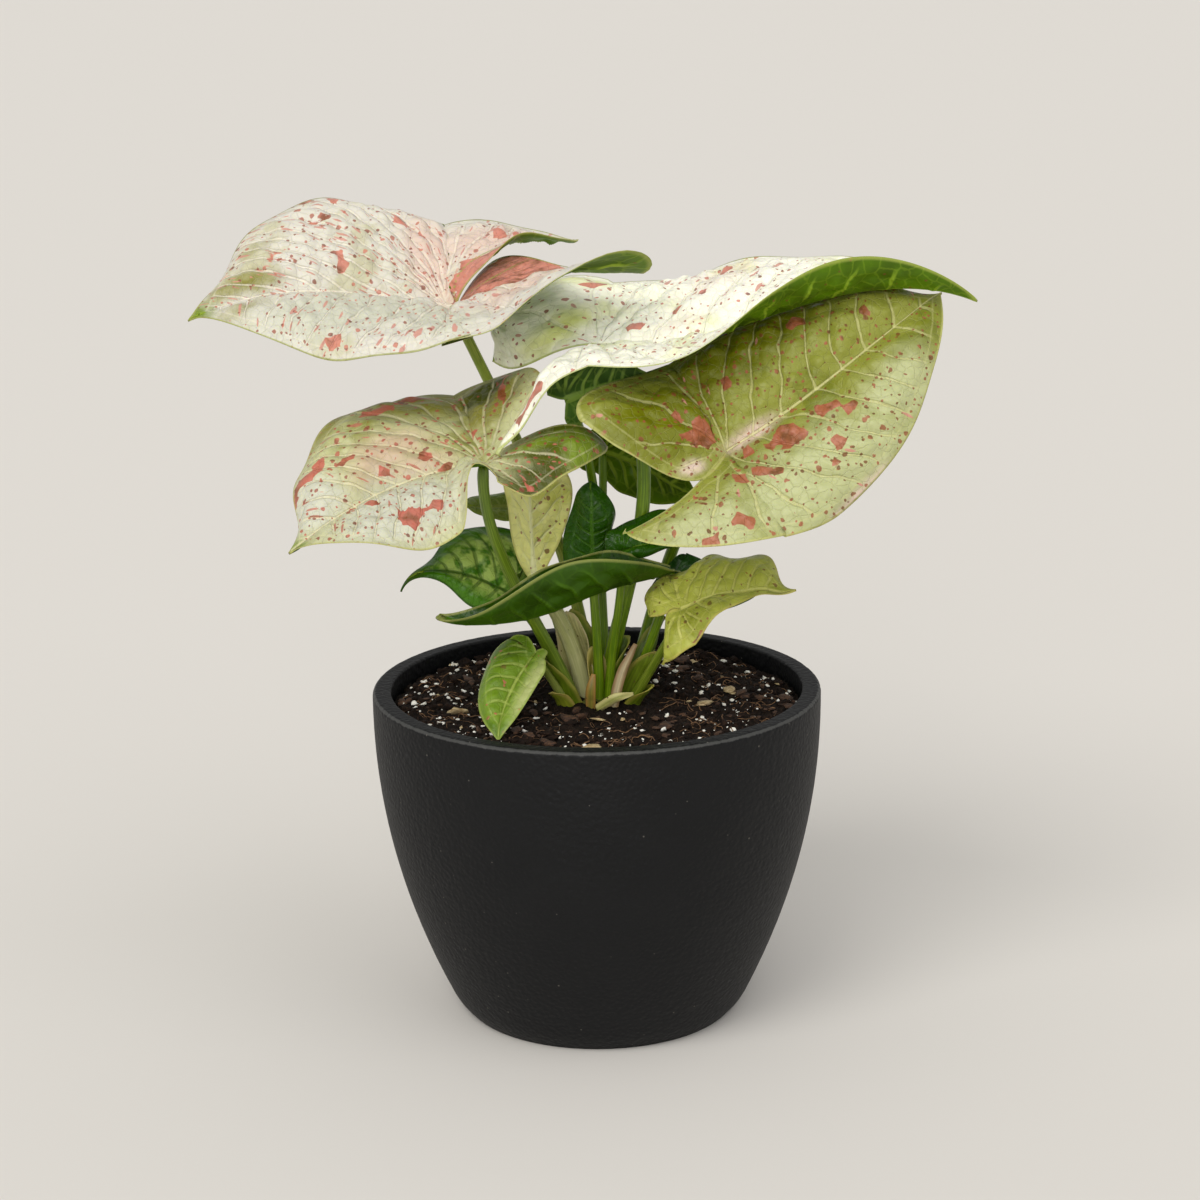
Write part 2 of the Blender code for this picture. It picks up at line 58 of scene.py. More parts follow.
# Places taken from the frame, in millimetres
POT_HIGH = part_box("pot")[1] / MM
POT_HEIGHT = POT_HIGH.z
POT_RIM_RADIUS = POT_HIGH.x
SOIL_TOP = (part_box("soil")[1] / MM).z - 0.8
CROWN_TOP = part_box("stem_base")[1].z / MM
STALK_FOOT = CROWN_TOP + 0.3

# The rest of the pot's profile, as the part's source has it
POT_MOUTH_RADIUS = 68.8
POT_WALL = 5.6
POT_FLOOR = 7.0
WALL_TOP = 108.0  # height at which the wall starts to draw in
WALL_DRAW = 27.5  # how far it would have drawn in at the ground
WALL_CURVE = 2.05
FOOT_ROUND = 7.0  # height of the foot's rounded edge
FOOT_CUT = 1.9  # how much narrower that leaves it on the ground

BLADE_THICKNESS = 0.5
MARGIN_THICKNESS = 0.2
STALK_SIDES = 18
STALK_STEPS = 70
GROOVE_AT = 4.4  # where a stalk's groove runs, in radians round it
GROOVE_DEPTH = 0.13  # share of its radius
FINE = np.linspace(0, 1, 401)  # the steps in which a midrib is walked


# ---- Leaves ----


@dataclass
class Lobe:
    """The part of a half that reaches back past the stalk. A tuple holds values from its root to its end."""

    length: float
    out: float  # how far aside of the midrib its end lies
    cross: float = 0.0  # how far its inner edge reaches over the midrib's line
    lift: tuple = (0.0,)  # degrees that it climbs out of the blade
    rise: tuple = (0.0,)  # degrees that it rises from its inner edge to its margin
    blunt: float = 3.0  # 1 is a pointed end, 2 a round one, more is blunter
    bow: float = 0.0


@dataclass
class Half:
    """One side of the midrib. A tuple holds values from the blade's base to its tip, evenly spaced."""

    width: float
    rise: tuple = (0.0,)  # degrees that it rises from the midrib to the margin
    bow: tuple = (1.0, 2.0, 0.0)  # height of the arch across it
    neck: float = 1.0  # width at the base, as a share of the full width
    peak: float = 0.2  # how far along the midrib the full width is reached
    full: float = 3.0  # how long the width is kept towards the tip
    tip: float = 1.2  # how drawn out the tip is
    lobe: Lobe = None
    pleat: tuple = ()  # where the margin is gathered: mm ahead, breadth, share pulled in, degrees raised


@dataclass
class Blade:
    """A leaf blade: where its stalk joins, how its midrib runs, and its two halves."""

    at: tuple
    heading: float  # degrees from +X towards +Y, from the stalk to the tip
    pitch: tuple  # degrees that the midrib climbs, from its base to its tip
    length: float
    left: Half
    right: Half
    bend: float = 0.0  # degrees that the midrib has turned to the left at its tip
    roll: float = 0.0  # degrees that the left side is raised


@dataclass
class Stalk:
    """A leaf stalk: its foot on the stem base, and how far it leans per unit of height at both ends."""

    foot: tuple
    lean: tuple
    arrive: tuple
    foot_radius: float
    top_radius: float
    colour: tuple = (92, 126, 0)
    stripe: tuple = (140, 168, 26)
    pale: float = 0.0  # how pale its foot is


BLADES = {
    "upper_left": Blade(
        at=(-46, 10, 239), heading=192, bend=8, pitch=(11, 4, -26), roll=-20, length=88,
        left=Half(44, (16, -4, -8), (1, 3, 0), full=4, tip=1.7, lobe=Lobe(
            50, 24, cross=22, lift=(60, 42, 22, -4, -45), rise=(16, 8, 26, 58), blunt=2.6, bow=-3)),
        right=Half(49, (10, 15, 6), (3, 5, 1), neck=0.9, full=3.6, tip=1.6, lobe=Lobe(
            54, 22, cross=-3, lift=(78, 50, 20, 0), rise=(10, -10, -18, -22), blunt=2.2, bow=-3)),
    ),
    "middle_left": Blade(
        at=(-35, -34, 195), heading=193, bend=22, pitch=(-2, -20, -28), roll=-10, length=70,
        left=Half(32, (-18, -14, 16), (2, 3, 0), neck=0.8, peak=0.5, full=5, tip=1.3,
            pleat=(5, 6, 0.5, 38), lobe=Lobe(
            44, 4, cross=1, lift=(50, 26, 6, -12, -38), rise=(-18, -27, -23, -19), blunt=1.8, bow=2)),
        right=Half(47, (10, 15, 14), (2, 5, 2), neck=0.85, full=2.5,
            lobe=Lobe(31, 10, cross=-2, lift=(35, 45), rise=(10, 6), bow=1)),
    ),
    "upper_right": Blade(
        at=(3, -8, 227), heading=-7, bend=3, pitch=(2, 19, -18), length=123,
        left=Half(46, (22, 18, 18, 15, 16), (3, 4, -1, -1), neck=0.92, full=3.4, tip=1.7,
            lobe=Lobe(42, 16, cross=-2, lift=(5, -40, -5), rise=(22, 40, 44), blunt=2.5, bow=4)),
        right=Half(35, (0, -2, 25, 50, 50), (2, 1, -3, -4, -1), full=1.6, tip=0.9,
            lobe=Lobe(33, 44, cross=-9, lift=(5, 0, -6), rise=(0, -10, -30, -38), blunt=1.4, bow=4)),
    ),
    "right": Blade(
        at=(42, -35, 198), heading=5, bend=28, pitch=(32, 34, 28), roll=52, length=89,
        left=Half(37, (2, -10, -18), (4, 3, 1),
            lobe=Lobe(39, 26, cross=11, lift=(35, 33), rise=(2, 0), bow=3)),
        right=Half(40, (5, 1, 1), (4, 4, 1), neck=0.9, full=2.2, tip=1.0,
            lobe=Lobe(44, 10, cross=-7, lift=(36, 20, 12), rise=(5, 0), blunt=1.5, bow=2)),
    ),
    "inner_top": Blade(
        at=(-8, -25, 214), heading=17, pitch=(20, 12, 8), roll=-70, length=28,
        left=Half(10, (-8, 0), (1, 1, 0), full=2.5, tip=1.0, lobe=Lobe(3, 6)),
        right=Half(12, (-8, 0), (1, 1, 0), full=2.5, tip=1.0, lobe=Lobe(6, 4)),
    ),
    "lower_left": Blade(
        at=(-27, -8, 145), heading=190, bend=8, pitch=(30, 26, 0, -60), length=42,
        left=Half(11, (-50, -60, -20), neck=0.7, peak=0.4, tip=3, lobe=Lobe(4, 3, rise=(-50, -40))),
        right=Half(25, (44, 36, 0), (2, 2, 0), peak=0.3, tip=3.2,
            lobe=Lobe(10, 10, lift=(30,), rise=(44, 30))),
    ),
    "front_fold": Blade(
        at=(25, -12, 154), heading=230, bend=-55, pitch=(3, -5, -14, -4, 22), length=86,
        left=Half(18, (20, 45, 66, 60, 20), (0, -3, -2, 0), 0.12, 0.55, full=4.4, tip=1.6, lobe=Lobe(3, 1)),
        right=Half(15, (60, 75, 55, 76), (0, -2, 0), 0.12, 0.55, full=4.4, tip=1.6, lobe=Lobe(3, 1)),
    ),
    "centre_upright": Blade(
        at=(-1, -10, 153), heading=90, pitch=(95, 94), length=31,
        left=Half(10, (-18, -27, -10), (1, 1, 0), full=3.4, tip=0.6, lobe=Lobe(3, 5, rise=(-18, -20))),
        right=Half(9, (-20, -30, -20), (1, 1, 0), full=3.4, tip=0.6, lobe=Lobe(3, 4, rise=(-20, -20))),
    ),
    "centre_right": Blade(
        at=(9, -17.5, 162), heading=20, bend=-34, pitch=(10, 6, -2), roll=60, length=28,
        left=Half(10, (0, 5), neck=0.8, full=2.8, tip=1.0, lobe=Lobe(5, 1)),
        right=Half(3.4, (0, 0), (1, 1, 0), full=2.5, tip=1.0, lobe=Lobe(4, 3)),
    ),
    "low_right": Blade(
        at=(27.5, -30.5, 146), heading=3, pitch=(22, 10, -10), length=38,
        left=Half(24, (15, 22, 14), (1, 3, 0), 0.66, 0.35, full=3.4, lobe=Lobe(11, 4, rise=(15, 25), bow=1)),
        right=Half(15, (-40, -14, -10), (1, 1, 0), full=1.0,
            lobe=Lobe(13, 15, cross=3, rise=(-40, -58), blunt=4, bow=2)),
    ),
    "low_right_back": Blade(
        at=(25, -3, 149), heading=-27, bend=22, pitch=(-25, 0, 15), roll=48, length=33,
        left=Half(10, (12, -15, -20), (1, 1, 0), tip=1.1, lobe=Lobe(4, 3)),
        right=Half(8, (0, 0), (1, 1, 0), tip=1.1, lobe=Lobe(4, 3)),
    ),
    "front_small": Blade(
        at=(-20, -25, 129), heading=222, bend=46, pitch=(-32, -38, -34), length=35,
        left=Half(9, (-6, 8, 0), (0, 1, 0), neck=0.6, tip=1.1, lobe=Lobe(3, 2)),
        right=Half(13, (35, 5, -5), (1, 3, 0), neck=0.8, lobe=Lobe(5, 5, lift=(20,), rise=(35, 30))),
    ),
    "young_pale": Blade(
        at=(-20, -8, 150), heading=75, pitch=(104, 94, 74), length=50,
        left=Half(18, (-30, -42, -38), (0, -2, 0), neck=0.1, peak=0.7, full=6),
        right=Half(17, (-30, -42, -38), (0, -2, 0), neck=0.1, peak=0.7, full=6),
    ),
    "back_right": Blade(
        at=(3, 16, 188), heading=0, bend=-11, pitch=(-10, -31, -18), roll=-52, length=35,
        left=Half(16, (-4, -8), (1, 1, 0), neck=0.7, peak=0.4, full=4, tip=1.1, lobe=Lobe(7, 8)),
        right=Half(13, (-4, -8), (1, 1, 0), full=4, tip=1.1, lobe=Lobe(6, 6)),
    ),
    "back_left": Blade(
        at=(-28, 14, 170), heading=194, bend=18, pitch=(7, 0), length=17,
        left=Half(7, (-27,), (1, 1, 0), full=2.5, tip=1.0, lobe=Lobe(3, 4, rise=(-27,))),
        right=Half(7, (38,), (1, 1, 0), full=2.5, tip=1.0, lobe=Lobe(3, 4, rise=(38,))),
    ),
}

STALKS = {
    "upper_left": Stalk(
        (-2, 9), (-0.05, 0.1), (-0.45, -0.15), 2.1, 1.7, (124, 144, 28), (170, 180, 70), 0.2),
    "middle_left": Stalk(
        (-7.5, -6), (-0.25, -0.45), (0.1, -0.2), 2.3, 1.7, (92, 120, 12), (134, 158, 38), 0.1),
    "upper_right": Stalk((2.5, -1.5), (0.1, -0.1), (-0.7, 0.1), 2.5, 2.1),
    "right": Stalk((11.5, 6.5), (0.3, 0.5), (0.5, -1.5), 2.2, 1.8),
    "inner_top": Stalk((4, 5.5), (-0.1, 0.05), (-0.35, -1.2), 1.6, 1.4),
    "lower_left": Stalk((-7.5, 1.5), (-0.3, 0.0), (-0.7, -0.2), 1.6, 1.3),
    "front_fold": Stalk((9.5, -2.5), (0.4, -0.3), (0.2, -0.1), 1.6, 1.3),
    "centre_upright": Stalk((0.5, -7), (0.05, -0.05), (-0.05, -0.05), 1.7, 1.4),
    "centre_right": Stalk((4, -7.5), (0.0, -0.1), (0.0, -0.2), 1.4, 1.3),
    "low_right": Stalk((10.5, -8), (0.5, -0.4), (0.3, -0.5), 1.6, 1.3, (100, 122, 24), (142, 156, 50)),
    "low_right_back": Stalk((11.8, 1.6), (0.3, 0.1), (0.3, -0.3), 1.4, 1.2),
    "front_small": Stalk(
        (-9.5, -10.5), (-0.4, -0.3), (-0.5, -0.9), 1.3, 1.1, (108, 128, 24), (150, 162, 56), 0.2),
    "young_pale": Stalk(
        (-3.5, -1), (-0.15, -0.2), (-0.7, -0.2), 2.8, 2.4, (178, 180, 112), (206, 204, 146), 0.5),
    "back_right": Stalk((0.5, 11.5), (0.05, 0.15), (0.0, 0.0), 1.5, 1.3),
    "back_left": Stalk((-6.5, 6.5), (-0.25, 0.4), (-0.4, -0.3), 1.4, 1.2),
}


# ---- Shapes ----


def eased(start, start_slope, end, end_slope, s):
    """A smooth run from start to end, at s from 0 to 1."""
    return (
        (2 * s**3 - 3 * s**2 + 1) * start
        + (s**3 - 2 * s**2 + s) * start_slope
        + (3 * s**2 - 2 * s**3) * end
        + (s**3 - s**2) * end_slope
    )


def along(values, t):
    """A smooth curve through evenly spaced values, at t from 0 to 1."""
    values = np.asarray(values, float)
    if len(values) == 1:
        return np.full_like(t, values[0])
    slopes = np.gradient(values)
    at = t * (len(values) - 1)
    low = np.clip(np.floor(at).astype(int), 0, len(values) - 2)
    return eased(values[low], slopes[low], values[low + 1], slopes[low + 1], at - low)


def walked(start, directions, length):
    """Points from start, a fine step apart, along a line that follows the directions."""
    steps = (directions[1:] + directions[:-1]) / 2 * length / (len(FINE) - 1)
    return start + np.vstack((np.zeros(3), np.cumsum(steps, axis=0)))


def fine_step(t):
    return np.round(t * (len(FINE) - 1)).astype(int)


def lengths_along(line):
    """How far along it each point of a line lies."""
    return np.concatenate(([0.0], np.cumsum(np.linalg.norm(np.diff(line, axis=0), axis=1))))


def frames(blade, t):
    """At each t along the midrib: the point on it, and the unit vectors ahead, to the left and up."""
    heading = np.radians(blade.heading + blade.bend * FINE)
    pitch = np.radians(along(blade.pitch, FINE))
    ahead = np.stack(
        (np.cos(pitch) * np.cos(heading), np.cos(pitch) * np.sin(heading), np.sin(pitch)), axis=1
    )
    level = np.stack((-np.sin(heading), np.cos(heading), np.zeros_like(FINE)), axis=1)
    roll = radians(blade.roll)
    left = cos(roll) * level + sin(roll) * np.cross(ahead, level)
    points = walked(np.asarray(blade.at, float), ahead, blade.length)
    picked = fine_step(t)
    ahead, left = ahead[picked], left[picked]
    return points[picked], ahead, left, np.cross(ahead, left)


def front_width(half, t):
    grown = half.neck + (1 - half.neck) * np.sin(np.clip(t / half.peak, 0, 1) * pi / 2)
    return half.width * grown * (1 - t**half.full) ** half.tip


def gathered(half, ahead, outer, rise):
    """The outer offset and the rise of each row, changed near the half's pleat; ahead is from the stalk."""
    if not half.pleat:
        return outer, rise
    place, breadth, pinch, lift = half.pleat
    near = np.exp(-(((ahead - place) / breadth) ** 2))
    return outer * (1 - pinch * near), rise + lift * near


def tilted(side, up, degrees):
    """The directions along and square to a half that rises by this many degrees."""
    angle = np.radians(degrees)[:, None]
    return np.cos(angle) * side + np.sin(angle) * up, np.cos(angle) * up - np.sin(angle) * side


def front_rows(blade, half, sign, t):
    """Each row ahead of the stalk: origin, side and normal directions, inner and outer offset, bow, place."""
    origin, _, left, up = frames(blade, t)
    outer, rise = gathered(half, t * blade.length, front_width(half, t), along(half.rise, t))
    side, normal = tilted(sign * left, up, rise)
    return origin, side, normal, np.zeros_like(t), outer, along(half.bow, t), t * blade.length


def lobe_rows(blade, half, sign, u):
    """The same for each row of the lobe, at u from 0 at its root to 1 at its end."""
    lobe = half.lobe
    base, ahead, left, up = [values[0] for values in frames(blade, np.zeros(1))]
    lift = np.radians(along(lobe.lift, FINE))[:, None]
    points = walked(base, np.sin(lift) * up - np.cos(lift) * ahead, lobe.length)
    raised = np.cos(lift) * up + np.sin(lift) * ahead
    picked = fine_step(u)
    root_width = float(front_width(half, np.zeros(1))[0])
    inner = lobe.out * u**2 - lobe.cross * np.sin(pi * u)
    outer = lobe.out + (root_width - lobe.out) * (1 - u**lobe.blunt) ** (1 / lobe.blunt)
    outer, rise = gathered(half, -u * lobe.length, outer, along(lobe.rise, u))
    side, normal = tilted(sign * left, raised[picked], rise)
    root_bow = float(along(half.bow, np.zeros(1))[0])
    bow = root_bow + (lobe.bow - root_bow) * np.minimum(2 * u, 1)
    return points[picked], side, normal, inner, outer, bow, -u * lobe.length


def half_grid(blade, sign, rows, across):
    """One half as a grid: points, how far ahead and aside each lies when flat, and the lobe's rows."""
    half = blade.left if sign > 0 else blade.right
    s = np.linspace(0, 1, across + 1)[None, :]
    parts = []
    if half.lobe:
        back_rows = max(4, round(rows * half.lobe.length / blade.length))
        u = np.sin(np.linspace(pi / 2, 0, back_rows + 1))[:-1]
        parts.append(lobe_rows(blade, half, sign, u))
    parts.append(front_rows(blade, half, sign, np.linspace(0, 1, rows + 1)))
    origin, side, normal, inner, outer, bow, ahead = [np.concatenate(values) for values in zip(*parts)]
    offset = inner[:, None] + s * (outer - inner)[:, None]
    shrink = np.clip(np.abs(outer - inner) / (0.5 * half.width), 0, 1)
    arch = 4 * s * (1 - s) * (bow * shrink)[:, None]
    points = origin[:, None] + offset[..., None] * side[:, None] + arch[..., None] * normal[:, None]
    return points, np.broadcast_to(ahead[:, None], offset.shape), offset, len(parts[0][0]) if half.lobe else 0


def merged(points, triangles, *others):
    """Points that coincide become one, and the triangles that this collapses are dropped."""
    _, first, inverse = np.unique(np.round(points, 2), axis=0, return_index=True, return_inverse=True)
    triangles = inverse.reshape(-1)[triangles]
    whole = (triangles != np.roll(triangles, 1, axis=1)).all(axis=1)
    return points[first], triangles[whole], *[values[first] for values in others]


def grid_triangles(rows, columns, start=0, turned=False, closed=False):
    """Two triangles for each cell of a grid of points, whose last column may join its first."""
    index = np.arange(rows * columns).reshape(rows, columns) + start
    if closed:
        index = np.hstack((index, index[:, :1]))
    a, b, c, d = index[:-1, :-1], index[:-1, 1:], index[1:, 1:], index[1:, :-1]
    if turned:
        b, d = d, b
    return np.vstack([np.stack(corners, axis=-1).reshape(-1, 3) for corners in ((a, b, c), (a, c, d))])


def normals_of(points, triangles):
    """The unit normal at each point, from the triangles round it."""
    a, b, c = (points[triangles[:, k]] for k in range(3))
    faces = np.cross(b - a, c - a)
    total = np.zeros_like(points)
    for k in range(3):
        np.add.at(total, triangles[:, k], faces)
    return total / np.maximum(np.linalg.norm(total, axis=1), 1e-9)[:, None]


def open_edges(triangles):
    """The edges with a triangle on one side only, in the order in which that triangle has them."""
    edges = np.vstack([triangles[:, [0, 1]], triangles[:, [1, 2]], triangles[:, [2, 0]]])
    _, inverse, count = np.unique(np.sort(edges, axis=1), axis=0, return_inverse=True, return_counts=True)
    return edges[count[inverse.reshape(-1)] == 1]


def thickened(points, triangles, up, down):
    """A closed body with the sheet's two sides up above it and down below it; the upper side comes first."""
    normals = normals_of(points, triangles)
    both = np.vstack((points + normals * up[:, None], points - normals * down[:, None]))
    count = len(points)
    i, j = open_edges(triangles).T
    rim = np.vstack((np.stack((j, i, i + count), axis=1), np.stack((j, i + count, j + count), axis=1)))
    return both, np.vstack((triangles, triangles[:, ::-1] + count, rim))


def twice(values):
    """Values at a sheet's points, for the two sides of the body that it becomes."""
    return np.concatenate((values, values))


def placed(name, data):
    obj = bpy.data.objects.new(name, data)
    bpy.context.scene.collection.objects.link(obj)
    return obj


def circle(sides):
    """Even turns round a circle, in radians."""
    return np.linspace(0, 2 * pi, sides, endpoint=False)


def add_mesh(name, points, triangles, materials, fields=None, slots=None):
    """An object in metres from points in millimetres. Fields are named values at the points."""
    mesh = bpy.data.meshes.new(name)
    mesh.from_pydata(np.asarray(points) * MM, [], triangles)
    if slots is not None:
        mesh.polygons.foreach_set("material_index", np.asarray(slots, np.int32))
    for key, values in (fields or {}).items():
        kind, part = ("FLOAT", "value") if values.ndim == 1 else ("FLOAT_VECTOR", "vector")
        made = mesh.attributes.new(key, kind, "POINT")
        made.data.foreach_set(part, values.astype(np.float32).ravel())
    mesh.validate()
    for material in materials:
        mesh.materials.append(material)
    mesh.shade_smooth()
    obj = placed(name, mesh)
    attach(obj, "root")
    return obj


# ---- Fields over a flat blade ----


def waves(x, y, size, seed):
    """Smooth irregular waves of about unit height, whose bumps are about this many millimetres across."""
    total = np.zeros_like(x)
    for k in range(5):
        turn = 2.4 * k + seed
        length = size * (0.7 + 0.23 * k)
        total += np.sin((x * cos(turn) + y * sin(turn)) * 2 * pi / length + 1.7 * k * seed)
    return total / 2.5


def band(values, low, high):
    """0 below low, 1 above high, smooth between them."""
    share = np.clip((values - low) / (high - low), 0, 1)
    return share * share * (3 - 2 * share)


def vein_fields(blade, look, ahead, left, beside):
    """A main vein runs wherever the first field is a whole number; the second is mm from one to the next.

    Ahead of the stalk the veins leave the midrib at an angle and curve forward; behind it they spread
    from the stalk into the lobe. beside is measured away from the midrib on both halves.
    """
    spacing = blade.length / look.laterals
    reach = max(blade.left.width, blade.right.width)
    wobble = 0.03 * reach * waves(ahead, left, 0.8 * reach, blade.heading)
    forward = ahead - 0.25 * beside * np.abs(beside) / reach + wobble
    angle = np.degrees(np.arctan2(beside, forward))
    angle = np.where(angle < -90, angle + 360, angle)
    leave = np.where(left > 0, *look.vein_angles)
    fan = np.where(left > 0, *look.fan_angles)
    fanned = angle > leave
    along_rib = forward - beside / np.tan(np.radians(leave))
    phase = np.where(fanned, (leave - angle) / fan, along_rib / spacing)
    radius = np.hypot(beside, forward)
    pitch = np.where(fanned, radius * np.radians(fan), spacing * np.sin(np.radians(leave)))
    return phase, pitch


def spot_fields(spots, ahead, left):
    """For each spot: distance from its middle, where 1 is its outline, its half width and its amount.

    A spot is (ahead, left, length, width), then the degrees that it is turned to the left, then its amount.
    """
    for spot in spots:
        at, aside, length, width, turn, amount = (*spot, *(0.0, 1.0)[len(spot) - 4 :])
        turn = radians(turn)
        x = (ahead - at) * cos(turn) + (left - aside) * sin(turn)
        y = (left - aside) * cos(turn) - (ahead - at) * sin(turn)
        yield np.hypot(x / (length / 2), y / (width / 2)), min(length, width) / 2, amount


def tint_field(spots, ahead, left):
    """How strongly soft patches tint each point."""
    return np.max([amount * np.exp(-gap**2) for gap, _, amount in spot_fields(spots, ahead, left)], axis=0)


def blotch_field(spots, ahead, left):
    """Millimetres to the outline of the nearest sharp patch, negative inside."""
    gaps = [(gap - 1) * size for gap, size, _ in spot_fields(spots, ahead, left)]
    return np.min([np.full_like(ahead, 50.0), *gaps], axis=0)


def distance_to(edge_points, points):
    """Millimetres from each flat point to the nearest of the flat edge points."""
    tree = KDTree(len(edge_points))
    for k, (x, y) in enumerate(edge_points):
        tree.insert((x, y, 0.0), k)
    tree.balance()
    return np.array([tree.find((x, y, 0.0))[2] for x, y in points])


# ---- Shader nodes ----


def linear(colour):
    """A colour in sRGB from 0 to 255 as the linear RGBA that a shader takes."""
    shares = (c / 255 for c in colour)
    return tuple(c / 12.92 if c < 0.04045 else ((c + 0.055) / 1.055) ** 2.4 for c in shares) + (1.0,)


def scaled(colour, share):
    return tuple(min(255, share * c) for c in colour)


class Nodes:
    """One material, and short calls that add shader nodes to it."""

    def __init__(self, name):
        self.material = bpy.data.materials.new(name)
        self.material.use_nodes = True
        self.tree = self.material.node_tree

    def link(self, socket, value):
        if isinstance(value, bpy.types.NodeSocket):
            self.tree.links.new(value, socket)
        else:
            socket.default_value = linear(value) if socket.type == "RGBA" else value

    def new(self, kind, inputs, output=0, **settings):
        """A new node's output; its inputs are given by their place or name."""
        node = self.tree.nodes.new(f"ShaderNode{kind}")
        for key, value in settings.items():
            setattr(node, key, value)
        for key, value in inputs.items():
            self.link(node.inputs[key], value)
        return node.outputs[output]

    def finish(self, colour, roughness, bump=None, specular=None, glow=None):
        """Sets the shader. bump is height, strength and mm; glow is a share and mm of light let through."""
        values = {"Base Color": colour, "Roughness": roughness}
        if bump:
            height, strength, distance = bump
            inputs = {"Strength": strength, "Distance": distance * MM, "Height": height}
            values["Normal"] = self.new("Bump", inputs)
        if specular:
            values["Specular IOR Level"] = specular
        if glow:
            values["Subsurface Weight"], *radius = glow
            values["Subsurface Radius"] = tuple(value * MM for value in radius)
        for key, value in values.items():
            self.link(self.tree.nodes["Principled BSDF"].inputs[key], value)
        return self.material

    def math(self, operation, a, b=0.0, c=0.0, clamp=False):
        return self.new("Math", {0: a, 1: b, 2: c}, operation=operation, use_clamp=clamp)

    def add(self, a, b):
        return self.math("ADD", a, b)

    def less(self, a, b):
        return self.math("SUBTRACT", a, b)

    def greater(self, a, b):
        return self.math("MAXIMUM", a, b)

    def scaled(self, value, by, plus):
        return self.math("MULTIPLY_ADD", value, by, plus)

    def times(self, *values):
        total = values[0]
        for value in values[1:]:
            total = self.math("MULTIPLY", total, value)
        return total

    def band(self, value, low, high):
        """0 at low and 1 at high, smooth between; low may be the greater."""
        return self.new("MapRange", {0: value, 1: low, 2: high}, interpolation_type="SMOOTHSTEP")

    def mix(self, share, a, b):
        return self.new("Mix", {0: share, 6: a, 7: b}, 2, data_type="RGBA")

    def over(self, colour, new, amount, *shares):
        """The colour with this much of a new one over it, where the shares are 1."""
        return self.mix(self.times(*shares, amount), colour, new)

    def field(self, name, output="Fac"):
        return self.new("Attribute", {}, output, attribute_name=name)

    def flat(self):
        return self.field("flat", "Vector")

    def position(self):
        """Millimetres in the piece's own space."""
        return self.stretched(self.new("TexCoord", {}, "Object"), (1 / MM, 1 / MM, 1 / MM))

    def stretched(self, vector, scale):
        return self.new("VectorMath", {0: vector, 1: scale}, operation="MULTIPLY")

    def noise(self, vector, size, detail=2.0, roughness=0.5, output=0):
        """Noise from 0 to 1, with features of about this size in the vector's units."""
        inputs = {"Vector": vector, "Scale": 1 / size, "Detail": detail, "Roughness": roughness}
        return self.new("TexNoise", inputs, output)

    def cells(self, vector, size, output="Distance", feature="F1", dimensions="2D"):
        inputs = {"Vector": vector, "Scale": 1 / size}
        return self.new("TexVoronoi", inputs, output, voronoi_dimensions=dimensions, feature=feature)

    def warped(self, vector, size, amount):
        """The vector pushed about by this many of its units, with bends of this size."""
        push = self.noise(vector, size, output="Color")
        return self.new("VectorMath", {0: push, 1: (2 * amount,) * 3, 2: vector}, operation="MULTIPLY_ADD")

    def random(self, vector, size):
        """A number from 0 to 1 for each cell of a Voronoi pattern."""
        return self.new("SeparateColor", {0: self.cells(vector, size, "Color")}, 2)

    def specks(self, vector, size, share, least, most, dimensions="2D"):
        """Round marks: in a share of the cells, one of a radius between least and most, in cell sizes."""
        colour = self.cells(vector, size, "Color", dimensions=dimensions)
        red = self.new("SeparateColor", {0: colour})
        shown = self.math("LESS_THAN", red, share)
        radius = self.scaled(red.node.outputs[1], most - least, least)
        inside = self.less(radius, colour.node.outputs["Distance"])
        return self.times(shown, self.band(inside, -0.02, 0.03))


# ---- Blade materials ----


@dataclass
class Look:
    """The colours and markings of a blade. Tints and blotches are placed by the blade's spots."""

    base: tuple
    second: tuple  # broad soft patches of another shade
    vein: tuple
    edge: tuple
    under: tuple
    under_vein: tuple
    slot: str
    laterals: int = 8
    vein_amount: float = 0.6
    network: float = 0.3
    speck: tuple = (122, 62, 42)
    specks: float = 0.0  # share of the speck cells that hold one
    streak: tuple = (205, 140, 125)
    streaks: float = 0.0
    pale: tuple = ()  # the middle's colour between the veins, where it is marbled
    tints: tuple = ()  # ((colour, spots), ...), spots as spot_fields takes them
    blotches: tuple = ()  # spots
    blotch: tuple = (196, 108, 88)
    blotch_dark: tuple = (136, 70, 38)
    vein_angles: tuple = (62, 62)  # degrees at which veins leave the midrib, on the left and on the right
    fan_angles: tuple = (24, 24)  # degrees between the veins that spread from the stalk
    quilting: float = 1.3  # mm that the blade swells between its veins
    waviness: float = 1.2  # mm that its margin waves
    roughness: float = 0.38


BLADE_GLOW = (0.12, 1.1, 1.4, 0.3)  # share of the light let through, and how far red, green and blue go
EDGE_VEIN = 3.4  # how far inside the margin a vein runs along it
MAIN_VEIN = 0.7  # half width of a main vein


def vein_mask(n, width):
    """1 on the main veins, fading where they meet the vein along the margin."""
    wander = n.scaled(n.noise(n.flat(), 14.0), 0.5, -0.25)
    distance = n.times(n.math("PINGPONG", n.add(n.field("vein"), wander), 0.5), n.field("pitch"))
    return n.times(n.band(distance, width, width * 0.35), n.band(n.field("margin"), 1.5, 6.0))


def fine_network(n, size, width):
    """1 on a net of fine veins between the main ones."""
    edges = n.cells(n.warped(n.flat(), 3.0, 1.1), size, feature="DISTANCE_TO_EDGE")
    return n.band(edges, width, width * 0.3)


